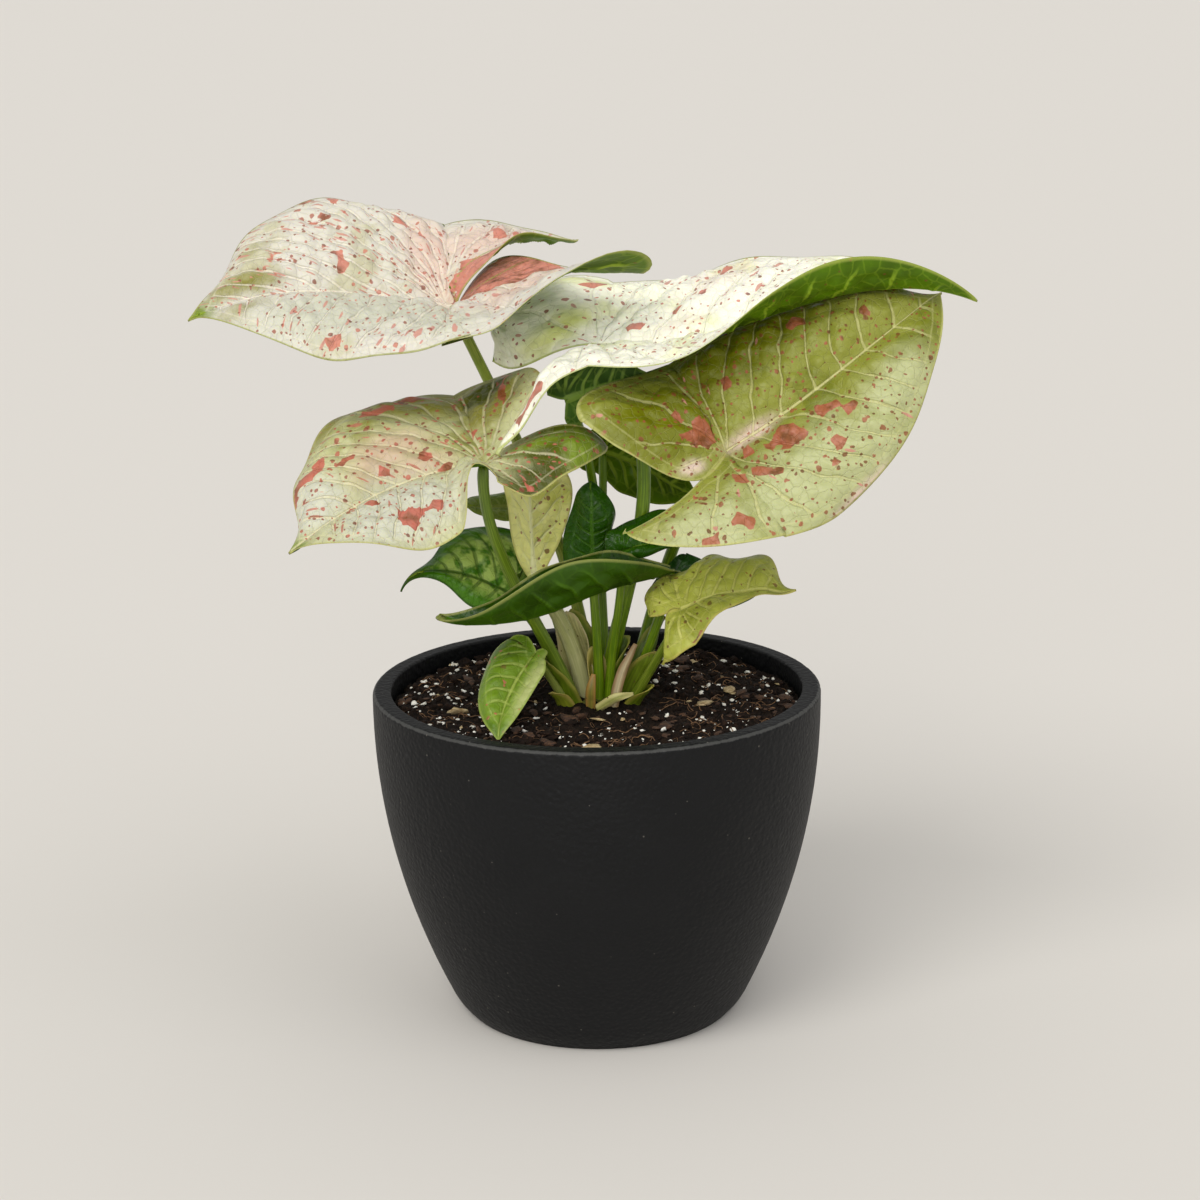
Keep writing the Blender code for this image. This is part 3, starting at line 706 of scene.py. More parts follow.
def rib_mask(n, base, tip, length):
    """1 on the midrib, which narrows towards the tip."""
    place = n.math("DIVIDE", n.field("ahead"), length, clamp=True)
    return n.band(n.less(n.scaled(place, tip - base, base), n.field("rib")), -0.3, 0.3)


def top_material(name, blade, look):
    n = Nodes(name)
    flat = n.flat()
    broad = n.noise(flat, 22.0, 3.0, 0.55)
    fine = n.noise(flat, 3.5, 4.0, 0.6)
    colour = n.mix(n.band(n.scaled(fine, 0.25, broad), 0.63, 0.78), look.base, look.second)
    for k, (tint, _) in enumerate(look.tints):
        amount = n.times(n.field(f"tint_{k}"), n.scaled(fine, 0.9, 0.5))
        colour = n.mix(n.band(n.scaled(broad, 0.5, amount), 0.35, 1.05), colour, tint)
    main = vein_mask(n, MAIN_VEIN)
    rib = rib_mask(n, 0.8, 0.2, blade.length)
    net = fine_network(n, 3.4, 0.06)
    if look.pale:
        middle = n.band(n.scaled(broad, 4.0, n.field("margin")), 4.0, 9.0)
        island = n.band(n.noise(flat, 5.0, 3.0), 0.64, 0.46)
        colour = n.over(colour, look.pale, 1.0, middle, island)
    edge_vein = n.band(n.math("ABSOLUTE", n.less(n.field("margin"), EDGE_VEIN)), 0.4, 0.1)
    colour = n.over(colour, look.vein, look.network, net)
    colour = n.over(colour, look.vein, look.vein_amount * 0.5, edge_vein)
    colour = n.over(colour, look.vein, look.vein_amount, main)
    colour = n.over(colour, look.vein, look.vein_amount * 1.4, rib)
    crowding = n.band(n.noise(flat, 17.0, 2.0), 0.3, 0.62)
    if look.streaks:
        lengthways = {0: n.times(n.field("vein"), 3.4), 1: n.times(n.field("reach"), 1 / 8.5), 2: 0.0}
        bent = n.warped(n.new("CombineXYZ", lengthways), 0.3, 0.14)
        marks = n.specks(bent, 1.0, n.times(crowding, look.streaks), 0.06, 0.26)
        colour = n.over(colour, look.streak, 0.85, marks)
    if look.specks:
        bent = n.warped(flat, 2.2, 0.7)
        small = n.specks(bent, 2.6, look.specks * 0.5, 0.1, 0.2)
        medium = n.specks(bent, 4.6, n.times(crowding, look.specks * 0.8), 0.09, 0.19)
        speck = n.mix(n.random(flat, 4.0), look.speck, look.blotch)
        colour = n.over(colour, speck, 0.85, n.greater(small, medium))
    if look.blotches:
        ragged = n.scaled(n.cells(n.warped(flat, 5.0, 1.2), 4.6), -4.5, 2.3)
        ragged = n.add(ragged, n.scaled(n.noise(flat, 1.6, 2.0), 1.2, -0.6))
        inside = n.band(n.add(n.field("blotch"), ragged), 0.15, -0.15)
        patch = n.mix(n.band(n.noise(flat, 7.0, 2.0), 0.48, 0.66), look.blotch, look.blotch_dark)
        patch = n.over(patch, look.streak, 0.35, n.band(n.noise(flat, 2.4, 3.0), 0.45, 0.7))
        colour = n.over(colour, patch, 0.92, inside)
    colour = n.over(colour, look.edge, 0.8, n.band(n.field("margin"), 0.9, 0.35))
    relief = n.add(n.times(n.noise(flat, 0.8, 2.0), 0.1), n.less(n.times(fine, 0.7), n.times(net, 0.22)))
    relief = n.scaled(n.noise(n.warped(flat, 6.0, 2.0), 5.5, 1.0), 1.3, relief)
    relief = n.scaled(n.cells(n.warped(flat, 3.0, 1.1), 3.4, feature="SMOOTH_F1"), -0.9, relief)
    relief = n.less(relief, n.times(n.greater(main, rib), 0.5))
    return n.finish(colour, n.scaled(fine, 0.16, look.roughness - 0.08), (relief, 0.8, 0.75), 0.3, BLADE_GLOW)


def under_material(name, blade, look):
    """The underside: duller, with raised veins."""
    n = Nodes(name)
    flat = n.flat()
    broad = n.noise(flat, 16.0, 3.0)
    colour = n.mix(n.band(broad, 0.35, 0.7), look.under, scaled(look.under, 0.72))
    main = vein_mask(n, 0.8)
    net = fine_network(n, 4.6, 0.09)
    colour = n.over(colour, look.under_vein, 0.22, net)
    colour = n.over(colour, look.under_vein, 0.75, n.greater(main, rib_mask(n, 1.3, 0.3, blade.length)))
    if look.specks:
        colour = n.over(colour, look.speck, 0.6, n.specks(flat, 4.2, look.specks * 0.4, 0.05, 0.12))
    colour = n.over(colour, look.edge, 0.6, n.band(n.field("margin"), 1.2, 0.3))
    raised = n.times(n.greater(main, n.times(net, 0.4)), 0.7)
    relief = n.add(n.times(n.noise(flat, 1.2, 3.0), 0.3), raised)
    return n.finish(colour, n.scaled(broad, 0.15, 0.4), (relief, 0.5, 0.4), 0.18, BLADE_GLOW)


# ---- Blades ----

LARGE_GRID = (100, 46)  # cells along the midrib and across each half
SMALL_GRID = (56, 28)


def blade_sheet(blade, rows, across):
    """The blade's middle surface, its two halves joined: points, triangles, ahead, left, beside, margin."""
    parts, triangles, edges = [], [], []
    count = 0
    for sign in (1.0, -1.0):
        grid, place, offset, lobe_count = half_grid(blade, sign, rows, across)
        triangles.append(grid_triangles(*offset.shape, count, turned=sign > 0))
        parts.append((grid.reshape(-1, 3), place.ravel(), (sign * offset).ravel(), offset.ravel()))
        flat = np.stack((place, sign * offset), axis=-1)
        edges += [flat[:, -1], flat[:lobe_count, 0]]
        count += offset.size
    points, ahead, left, beside = [np.concatenate(values) for values in zip(*parts)]
    margin = distance_to(np.concatenate(edges), zip(ahead, left))
    return merged(points, np.concatenate(triangles), ahead, left, beside, margin)


def add_blade(name, blade, look):
    """A blade that stands for its CAD node: quilted between its veins, thin at its margin."""
    rows, across = LARGE_GRID if blade.length > 60 else SMALL_GRID
    points, triangles, ahead, left, beside, margin = blade_sheet(blade, rows, across)
    phase, pitch = vein_fields(blade, look, ahead, left, beside)
    off_vein = np.abs(phase - np.round(phase))
    inland = band(margin, 1.0, 8.0) * band(np.abs(beside), 0.5, 6.0)
    swell = look.quilting * np.sqrt(np.clip(off_vein * 2, 0, 1)) * inland * band(pitch, 2.0, 7.0)
    dents = 0.35 * look.quilting * waves(ahead, left, 9.0, blade.length) * inland
    ruffle = waves(ahead, left, 0.35 * blade.length + 8.0, blade.heading) * np.exp(-margin / 6.0)
    points = points + normals_of(points, triangles) * (swell + dents + look.waviness * ruffle)[:, None]
    rib = np.where(ahead > 0, np.abs(beside), np.hypot(ahead, beside))
    ridge = 0.25 * np.exp(-((off_vein * pitch / 0.6) ** 2)) * band(margin, 2.0, 5.0) + 0.5 * np.exp(-(rib**2))
    half_thick = (MARGIN_THICKNESS + (BLADE_THICKNESS - MARGIN_THICKNESS) * band(margin, 0.0, 2.5)) / 2
    body, faces = thickened(points, triangles, half_thick, half_thick + ridge)
    fields = dict(ahead=ahead, reach=np.hypot(ahead, left), rib=rib, vein=phase, pitch=pitch, margin=margin)
    fields["flat"] = np.stack((ahead, left, np.zeros_like(left)), axis=1)
    fields["blotch"] = blotch_field(look.blotches, ahead, left)
    for k, (_, spots) in enumerate(look.tints):
        fields[f"tint_{k}"] = tint_field(spots, ahead, left)
    fields = {key: twice(values) for key, values in fields.items()}
    slots = np.zeros(len(faces), int)
    slots[len(triangles) : 2 * len(triangles)] = 1
    materials = (top_material(f"{name}_top", blade, look), under_material(f"{name}_under", blade, look))
    obj = add_mesh(f"blade_{name}", body, faces, materials, fields, slots)
    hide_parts(f"leaf_{name}")


# ---- How each blade is coloured ----

GREEN_UNDER = ((92, 126, 6), (150, 172, 52))
DARK_UNDER = ((60, 96, 4), (100, 134, 24))
OLIVE = (140, 136, 60)
FLUSH = (222, 198, 182)
MINT = (204, 204, 184)
LEAF_GREEN = (120, 140, 40)

LOOKS = {
    "upper_left": Look(
        (218, 214, 200), (200, 196, 166), (240, 232, 212), (160, 164, 84),
        *GREEN_UNDER, "variegated_cream", specks=0.7, streaks=0.8, network=0.1, vein_amount=0.5,
        blotch=(208, 128, 108), vein_angles=(62, 26), fan_angles=(22, 9), waviness=1.7, quilting=1.8,
        tints=(
            (OLIVE, ((66, -5, 32, 10, 0, 0.7), (60, -18, 26, 6, 30, 0.45), (70, 6, 24, 10, 0, 0.6))),
            (FLUSH, ((6, -20, 22, 46, 10, 0.9), (-20, -26, 50, 26, 0, 0.9), (-24, 18, 50, 24, 20, 0.7))),
            (MINT, ((36, 18, 80, 30), (4, 30, 40, 24))),
            (LEAF_GREEN, ((88, 0, 18, 14), (-60, 20, 14, 20))),
        ),
        blotches=(
            (-22, -3, 42, 27, 3), (43, -43, 9, 5), (34, -44, 7, 4, 30), (45, 33, 7, 6, 60),
            (-22, -29, 5, 8, 20), (17, -37, 13, 3, -55), (12, -33, 8, 2.5, -50), (32, 8, 4, 3),
            (41, -30, 6, 2.5, 30), (54, -14, 6, 2, 40), (36, -8, 9, 2.5, -60), (-30, -26, 7, 4),
        ),
    ),
    "middle_left": Look(
        (190, 190, 140), (150, 152, 82), (226, 218, 178), (186, 184, 110),
        *DARK_UNDER, "variegated_green", specks=0.9, streaks=0.36, network=0.1, vein_amount=0.5,
        blotch=(192, 100, 82), vein_angles=(62, 44), fan_angles=(22, 16), waviness=2.0, streak=(186, 112, 92),
        tints=(
            # The olive tint over the back half is painted shade, where the upper-left blade's shadow falls.
            (OLIVE, ((4, -34, 56, 22), (-12, -22, 34, 20), (34, -38, 30, 10, 30))),
            ((72, 78, 0), ((-30, 8, 44, 22), (-14, 22, 40, 22), (-14, -30, 30, 12))),
            ((200, 176, 146), ((27, -12, 34, 18, 20, 0.8), (20, -4, 26, 10, 0, 0.8))),
            (MINT, ((34, 14, 54, 34), (54, -8, 24, 24))),
            (LEAF_GREEN, ((70, 2, 14, 14), (-34, 12, 18, 20), (-20, 6, 26, 8, 0, 0.7))),
        ),
        blotches=(
            (33, 19, 9, 11, 20), (25, 18, 9, 4, -15), (13, -38, 13, 6), (22, -33, 11, 4, -30),
            (50, -17, 13, 4, 10), (31, -5, 6, 3, 30), (47, 4, 5, 3.5, 50), (17, -8, 10, 2.4, -55),
            (-1, -13, 7, 2.6, 70), (-2, 23, 5, 4), (-9, 22, 7, 4), (-18, -23, 11, 3.4, 60),
            (12, -1, 4, 4), (40, 5, 3.4, 3), (42, -14, 7, 2.4, 20),
        ),
    ),
    "upper_right": Look(
        (252, 250, 232), (238, 240, 200), (240, 238, 212), (170, 180, 84),
        (86, 122, 2), (140, 168, 40), "variegated_cream", specks=0.6, streaks=0.3, blotch=(208, 124, 106),
        network=0.12, vein_amount=0.5, vein_angles=(60, 60), waviness=1.8, quilting=1.7,
        tints=(
            ((206, 212, 96), ((-14, 14, 26, 16), (-26, 26, 16, 20), (4, 20, 18, 12), (-6, 34, 24, 9))),
            # The near-white tint over the left half by the stalk and over its lobe is painted light: it lifts
            # the shade that the upper-left blade casts there.
            ((255, 255, 230), ((-20, 26, 44, 30), (10, 26, 34, 30))),
            (FLUSH, ((40, 28, 44, 26, 20, 0.4), (24, 6, 30, 10, 10, 0.4))),
            (LEAF_GREEN, ((118, 0, 22, 20),)),
        ),
        blotches=(
            (12, 8, 9, 4, 50), (43, 34, 8, 4, 50), (34, 19, 4, 4), (26, 14, 5, 2.5, 60),
            (-24, -36, 17, 2.6, 20), (58, 40, 6, 3), (-4, 32, 4, 4), (30, -8, 4, 3),
        ),
    ),
    "right": Look(
        (142, 146, 58), (118, 124, 34), (206, 202, 140), (186, 186, 112),
        *GREEN_UNDER, "variegated_yellow", specks=1.0, streaks=0.12, network=0.1, vein_amount=0.5,
        quilting=1.7, waviness=2.2, blotch=(168, 92, 64), blotch_dark=(118, 62, 30), speck=(104, 62, 20),
        tints=(
            # The dark yellow-green tint over the back half and its lobe is partly the blade's own green and
            # partly painted shade, where the upper-right blade's shadow falls.
            ((112, 116, 8), ((30, 26, 90, 22, 0, 0.9), (-16, 16, 50, 28))),
            ((184, 188, 136), ((20, -28, 80, 34), (-24, -28, 44, 28), (54, -18, 34, 22))),
            (FLUSH, ((9, 0, 24, 9, 0, 0.8), (22, -41, 34, 9, 16, 1.4), (-15, -2, 12, 6, 0, 0.8))),
        ),
        blotches=(
            (-7, 7, 14, 9, 10), (12, 18, 4.4, 5), (1, 17, 3, 4), (-11, 15, 4, 3.4),
            (17, -10, 12, 7, -25), (31, -8, 8, 3.4, -20), (39, -13, 3, 3), (28, -20, 6, 4, -25),
            (25, -26, 3.4, 4), (22, -2, 4.4, 3.4), (6, -6, 4, 3.6), (5, -14, 3.4, 5, 20), (11, -17, 3.4, 4),
            (-4, -13, 3.4, 8, 60), (-18, -15, 4, 5), (-12, -27, 4, 9, 70), (-22, -28, 6, 6),
            (-8, -37, 5, 3), (0, -38, 8, 3, 30), (45, 21, 7, 5, 30), (63, 9, 5, 3, 60),
        ),
    ),
    "inner_top": Look(
        (84, 112, 14), (66, 92, 6), (160, 178, 84), (120, 146, 60),
        (66, 104, 20), (140, 168, 70), "leaf_green", laterals=6,
    ),
    "lower_left": Look(
        (78, 134, 6), (60, 112, 2), (54, 96, 6), (50, 90, 4),
        *GREEN_UNDER, "leaf_marbled", pale=(186, 212, 108), network=0.08, laterals=7,
        tints=((OLIVE, ((42, 0, 14, 16),)),), roughness=0.3,
    ),
    "front_fold": Look(
        (34, 68, 0), (48, 86, 0), (80, 120, 14), (160, 164, 90),
        (50, 84, 0), (64, 98, 4), "leaf_dark", network=0.15, laterals=9, roughness=0.3,
        waviness=2.4,
        blotches=((16, 8, 22, 5),), blotch=(168, 132, 92), blotch_dark=(120, 96, 60),
    ),
    "centre_upright": Look(
        (42, 88, 2), (30, 70, 0), (76, 122, 24), (46, 86, 10),
        *DARK_UNDER, "leaf_dark", network=0.15, laterals=7, roughness=0.28, waviness=2.6,
    ),
    "centre_right": Look(
        (42, 88, 2), (30, 70, 0), (76, 122, 24), (52, 88, 14),
        *DARK_UNDER, "leaf_dark", network=0.15, laterals=6, roughness=0.28, waviness=2.2,
    ),
    "low_right": Look(
        (172, 176, 72), (144, 150, 48), (204, 202, 112), (184, 176, 88),
        (124, 138, 26), (176, 182, 78), "variegated_yellow", specks=0.5,
        speck=(98, 84, 34), network=0.2, laterals=7, quilting=1.6, waviness=2.2,
        blotches=((4, -14, 6, 5),), blotch=(140, 84, 40), blotch_dark=(84, 50, 22),
    ),
    "low_right_back": Look(
        (38, 82, 26), (28, 64, 18), (70, 112, 48), (50, 86, 34),
        *DARK_UNDER, "leaf_dark", network=0.15, laterals=6, roughness=0.3,
    ),
    "front_small": Look(
        (116, 146, 34), (90, 122, 14), (166, 182, 88), (150, 168, 76),
        *GREEN_UNDER, "leaf_green", network=0.12, laterals=7, specks=0.3, speck=(92, 98, 30),
        tints=(((176, 184, 116), ((14, 8, 50, 11), (4, 9, 20, 9))),),
    ),
    "young_pale": Look(
        (252, 248, 156), (236, 236, 124), (252, 250, 190), (226, 220, 130),
        (232, 228, 134), (244, 240, 174), "leaf_pale", specks=0.5, speck=(124, 92, 48),
        network=0.2, laterals=8,
    ),
    "back_right": Look(
        (112, 128, 26), (88, 108, 14), (160, 172, 70), (134, 150, 50),
        *GREEN_UNDER, "leaf_green", network=0.3, laterals=7,
    ),
    "back_left": Look(
        (132, 150, 60), (106, 130, 40), (172, 182, 100), (144, 160, 70),
        *GREEN_UNDER, "leaf_pale", network=0.3, laterals=5,
    ),
}


# ---- Stalks, sheaths and the stem base ----


def stalk_material(name, stalk):
    """A fleshy stalk: fine stripes along it, duller and paler towards its foot."""
    n = Nodes(name)
    flat = n.flat()
    stripes = n.noise(n.stretched(flat, (0.05, 1.6, 1.0)), 1.0, 3.0, 0.6)
    blotchy = n.noise(n.stretched(flat, (0.14, 0.5, 1.0)), 1.0, 3.0)
    shade = n.mix(n.band(stripes, 0.4, 0.68), stalk.colour, stalk.stripe)
    shade = n.over(shade, scaled(stalk.colour, 0.62), 0.5, n.band(blotchy, 0.5, 0.75))
    shade = n.over(shade, (206, 204, 152), stalk.pale, n.band(n.field("foot"), 34.0, 2.0))
    marks = n.specks(n.stretched(flat, (0.7, 1.0, 1.0)), 2.6, 0.16, 0.05, 0.13)
    shade = n.over(shade, (92, 84, 34), 0.55, marks)
    height = n.add(n.times(stripes, 0.6), n.times(n.noise(flat, 0.7, 2.0), 0.2))
    return n.finish(shade, n.scaled(stripes, 0.2, 0.32), (height, 0.5, 0.3), glow=(0.1, 1.2, 1.4, 0.6))


def stalk_curve(stalk, blade):
    """Points up the middle of a stalk, from below the soil to its blade's underside."""
    foot = np.array((*stalk.foot, STALK_FOOT), float)
    up = frames(blade, np.zeros(1))[3][0]
    arrival = np.array((*stalk.arrive, 1.0))
    lean = np.array((*stalk.lean, 1.0))
    top = np.asarray(blade.at, float) - up * (0.4 if up @ arrival > 0 else -0.4)
    height = top[2] - foot[2]
    curve = eased(foot, height * lean, top, height * arrival, np.linspace(0, 1, STALK_STEPS + 1)[:, None])
    return np.vstack((foot - lean * np.array([[6.0], [4.0], [2.0]]), curve))


def carried_frames(line):
    """Unit vectors square to a line at each of its points, which turn no more than the line makes them."""
    ahead = np.gradient(line, axis=0)
    ahead /= np.linalg.norm(ahead, axis=1)[:, None]
    side = np.zeros_like(line)
    start = np.cross(ahead[0], (0.0, 1.0, 0.0))
    for k, direction in enumerate(ahead):
        start = start - direction * (start @ direction)
        start /= np.linalg.norm(start)
        side[k] = start
    return side, np.cross(ahead, side)


def outward(turns, side, other):
    """Unit vectors out from a line at these turns round it."""
    return np.cos(turns)[..., None] * side[:, None] + np.sin(turns)[..., None] * other[:, None]


def tube(line, radii, sides, groove=0.0):
    """A closed tube with a groove along it: points, triangles, length along it and turn round it."""
    turns = circle(sides)[None, :]
    from_groove = np.angle(np.exp(1j * (turns - GROOVE_AT)))
    reach = radii[:, None] * (1 - groove * np.exp(-((from_groove / 0.4) ** 2)))
    points = line[:, None] + reach[..., None] * outward(turns, *carried_frames(line))
    last = (len(line) - 1) * sides
    caps = []
    for k in range(1, sides - 1):
        caps += [(0, k + 1, k), (last, last + k, last + k + 1)]
    faces = np.vstack((grid_triangles(len(line), sides, closed=True), caps))
    along_it = lengths_along(line)[:, None] + 0 * reach
    return points.reshape(-1, 3), faces, along_it.ravel(), (turns + 0 * reach).ravel()


def add_stalk(name, stalk, blade):
    line = stalk_curve(stalk, blade)
    length = lengths_along(line)
    total = length[-1]
    radii = stalk.foot_radius + (stalk.top_radius - stalk.foot_radius) * length / total
    radii = radii * (1 + 0.35 * np.exp(-length / 14.0) + 0.12 * np.exp(-(((total - length) / 7.0) ** 2)))
    radii[-3:] *= (0.97, 0.9, 0.75)
    points, faces, along_it, round_it = tube(line, radii, STALK_SIDES, GROOVE_DEPTH)
    fields = {"flat": np.stack((along_it, round_it * 3, 0 * round_it), axis=1), "foot": along_it - 6.0}
    name_of_piece = f"petiole_{name}"
    obj = add_mesh(name_of_piece, points, faces, [stalk_material(name_of_piece, stalk)], fields)
    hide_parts(f"stalk_{name}")


@dataclass
class Sheath:
    """The split sleeve at a stalk's foot, which holds the next stalk."""

    height: float
    facing: float  # degrees from +X towards +Y that its opening looks
    wrap: float  # degrees that it goes round at its foot
    gap: float  # between it and its stalk
    flare: float  # how much further out its top stands
    colour: tuple
    rim: tuple


SHEATHS = {
    "upper_left": Sheath(30, 60, 250, 0.6, 0.5, (110, 126, 26), (176, 172, 84)),
    "middle_left": Sheath(26, 20, 250, 0.5, 0.6, (88, 108, 12), (164, 160, 68)),
    "young_pale": Sheath(31, 250, 230, 0.9, 1.2, (190, 186, 128), (206, 190, 140)),
    "upper_right": Sheath(24, 200, 260, 0.7, 0.8, (84, 108, 8), (166, 166, 70)),
    "right": Sheath(30, 150, 240, 0.7, 1.0, (80, 102, 8), (150, 150, 60)),
    "front_fold": Sheath(24, 120, 240, 0.8, 1.6, (98, 116, 20), (170, 158, 76)),
    "centre_upright": Sheath(20, 300, 220, 0.6, 0.7, (156, 150, 60), (196, 178, 100)),
    "lower_left": Sheath(22, 10, 230, 0.6, 0.7, (116, 126, 28), (182, 164, 80)),
    "low_right": Sheath(14, 150, 230, 0.6, 0.8, (100, 116, 18), (168, 158, 66)),
    "front_small": Sheath(12, 60, 230, 0.5, 0.6, (122, 130, 30), (190, 172, 88)),
}


def sheath_material(name, colour, rim):
    """Ribbed lengthways, paler and drier along its free edges."""
    n = Nodes(name)
    flat = n.flat()
    ribs = n.noise(n.stretched(flat, (0.04, 1.5, 1.0)), 1.0, 3.0, 0.6)
    shade = n.mix(n.band(ribs, 0.38, 0.68), colour, scaled(colour, 1.18))
    shade = n.over(shade, scaled(colour, 0.68), 0.35, n.band(n.noise(flat, 4.0, 3.0), 0.52, 0.7))
    shade = n.over(shade, rim, 0.85, n.band(n.field("margin"), 1.6, 0.3))
    shade = n.mix(n.specks(flat, 2.8, 0.2, 0.06, 0.15), shade, (104, 84, 44))
    return n.finish(shade, n.scaled(ribs, 0.2, 0.36), (n.times(ribs, 0.8), 0.55, 0.35))


def add_strip_body(name, colour, rim, points, margin, place, aside, thick, turned=False):
    """A thin body from a grid of points, with how far along and aside each lies when it is flat."""
    flat = np.stack((place, aside, 0 * place), axis=-1).reshape(-1, 3)
    faces = grid_triangles(*place.shape, turned=turned)
    body, closed = thickened(points.reshape(-1, 3), faces, thick, thick)
    fields = {"flat": twice(flat), "margin": twice(margin.ravel())}
    return add_mesh(name, body, closed, [sheath_material(name, colour, rim)], fields)


def add_sheath(name, sheath, stalk, blade):
    """A sleeve round the lower part of a stalk, open on one side, whose edges meet in a point at its top."""
    line = stalk_curve(stalk, blade)
    steps = np.linspace(2.0, sheath.height + 6.0, 26)
    middle = np.stack([np.interp(steps, lengths_along(line), line[:, k]) for k in range(3)], axis=1)
    side, other = carried_frames(middle)
    facing = np.array((cos(radians(sheath.facing)), sin(radians(sheath.facing)), 0.0))
    opening = np.arctan2(other @ facing, side @ facing)[:, None]
    steps = steps[:, None]
    share = (steps - steps[0]) / (steps[-1] - steps[0])
    reach = np.radians(sheath.wrap / 2 * (1 - share**2.2) ** 0.6 + 4)
    across = np.linspace(-1, 1, 25)[None, :]
    turns = opening + pi + across * reach
    radius = stalk.foot_radius * (1.35 - 0.25 * share) + sheath.gap + sheath.flare * share**1.5
    place = steps + 0 * turns
    radius = radius * (1 + 0.07 * waves(place, turns * 2.5, 8.0, sheath.facing)) + 0.7 * across**4
    points = middle[:, None] + radius[..., None] * outward(turns, side, other)
    half_width = reach * radius
    margin = np.minimum(half_width * (1 - np.abs(across)), steps[-1] - place)
    thick = 0.12 + 0.18 * band(margin.ravel(), 0.0, 2.0)
    name = f"sheath_{name}"
    aside = half_width * across
    obj = add_strip_body(name, sheath.colour, sheath.rim, points, margin, place, aside, thick, turned=True)


STRIPS = (  # name, places along it, width, degrees that it is dished, colour, the colour of its rim
    ("dry_leaf_base", [(5, -14, 106), (8, -14, 119), (13, -13, 129.5)], 3.6, 60,
        (186, 172, 134), (150, 116, 76)),
    ("bract_front", [(0, -16, 108), (6, -18.5, 112.5), (12, -16.5, 113.5)], 3.4, 80,
        (150, 152, 80), (206, 196, 130)),
    ("bract_bud", [(-2, -14, 106), (-2, -16, 114), (-1, -15, 120)], 3.8, 110,
        (120, 112, 44), (176, 132, 66)),
)


def add_strip(name, places, width, bend, colour, rim):
    """A loose scale or dry leaf base: a strip dished across by these degrees, which narrows to its end."""
    share = np.linspace(0, 1, 24)
    line = np.stack([along(values, share) for values in zip(*places)], axis=1)
    widths = width * np.clip(1 - share**3 * 0.6, 0.15, 1) * (0.8 + 0.2 * np.sin(share * pi))
    side, other = carried_frames(line)
    across = np.linspace(-1, 1, 13)[None, :]
    half_bend = radians(bend / 2)
    radius = (widths / (2 * half_bend))[:, None]
    aside = radius * np.sin(across * half_bend)
    length = lengths_along(line)
    place = length[:, None] + 0 * aside
    up = radius * (np.cos(across * half_bend) - 1) + 0.35 * waves(place, aside * 0.5, 9.0, width) * across**2
    points = line[:, None] + aside[..., None] * side[:, None] + up[..., None] * other[:, None]
    margin = np.minimum(widths[:, None] / 2 * (1 - np.abs(across)), (length[-1] - place) * 0.7)
    obj = add_strip_body(name, colour, rim, points, margin, place, aside, np.full(place.size, 0.25))


def add_stem_base():
    """The low knobbly mound that the stalks stand on, with old leaf scars."""
    rings, sides, spread = 40, 96, 17.0
    share = np.linspace(0, 1, rings)[:, None]
    turns = circle(sides)[None, :]
    radius = spread * np.sin(share * pi / 2) * (1 + 0.08 * np.sin(3 * turns + 1) + 0.04 * np.sin(7 * turns))
    x, y = radius * np.cos(turns), radius * np.sin(turns)
    lumps = [noise.fractal(Vector((px / 6, py / 6, 3.1)), 0.6, 2.0, 4) for px, py in zip(x.flat, y.flat)]
    lumps = np.array(lumps).reshape(x.shape)
    z = CROWN_TOP + 2.2 - 9.0 * share**3 + 2.2 * lumps * (1 - share**6)
    points = np.stack((x, y, z), axis=-1).reshape(-1, 3)
    points, faces = merged(points, grid_triangles(rings, sides, turned=True, closed=True))
    n = Nodes("stem_base")
    place = n.position()
    rough = n.noise(place, 3.0, 4.0, 0.6)
    shade = n.mix(n.band(rough, 0.35, 0.65), (84, 92, 34), (120, 112, 54))
    shade = n.mix(n.band(n.noise(place, 7.0, 3.0), 0.5, 0.7), shade, (66, 50, 28))
    obj = add_mesh("crown", points, faces, [n.finish(shade, n.scaled(rough, 0.3, 0.45), (rough, 0.8, 0.8))])
    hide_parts("stem_base")


# ---- Pot ----


def outer_radius(height):
    """The pot's wall: upright at the rim, drawn in more and more towards its rounded foot."""
    depth = max(0.0, WALL_TOP - height) / WALL_TOP
    cut = FOOT_CUT * max(0.0, 1 - height / FOOT_ROUND) ** 2
    return POT_RIM_RADIUS - WALL_DRAW * depth**WALL_CURVE - cut


def rounded_corner(radius, height, size, start):
    """Points of a quarter of an arc of this size round (radius, height), from a direction in degrees."""
    angles = np.radians(np.linspace(start, start + 90, 6))
    return [(radius + size * cos(a), height + size * sin(a)) for a in angles]


def pot_profile():
    """Radius and height from the middle of the foot, up the outside, over the rim and down the inside."""
    heights = [*np.linspace(0, FOOT_ROUND, 12) ** 2 / FOOT_ROUND, *np.linspace(FOOT_ROUND, 110.4, 72)[1:]]
    outside = [(outer_radius(height), height) for height in heights]
    rim = rounded_corner(POT_RIM_RADIUS - 1.5, POT_HEIGHT - 1.5, 1.5, 0)
    rim += [(radius, POT_HEIGHT) for radius in np.linspace(POT_RIM_RADIUS - 2.2, POT_MOUTH_RADIUS + 1.4, 5)]
    rim += rounded_corner(POT_MOUTH_RADIUS + 0.8, POT_HEIGHT - 0.8, 0.8, 90)
    inside = [(outer_radius(height) - POT_WALL, height) for height in np.linspace(106, 14, 24)]
    floor = [(outer_radius(14.0) - POT_WALL - 5.0, POT_FLOOR), (0.0, POT_FLOOR)]
    return np.array([(0.0, 0.0), *outside, *rim, *inside, *floor])


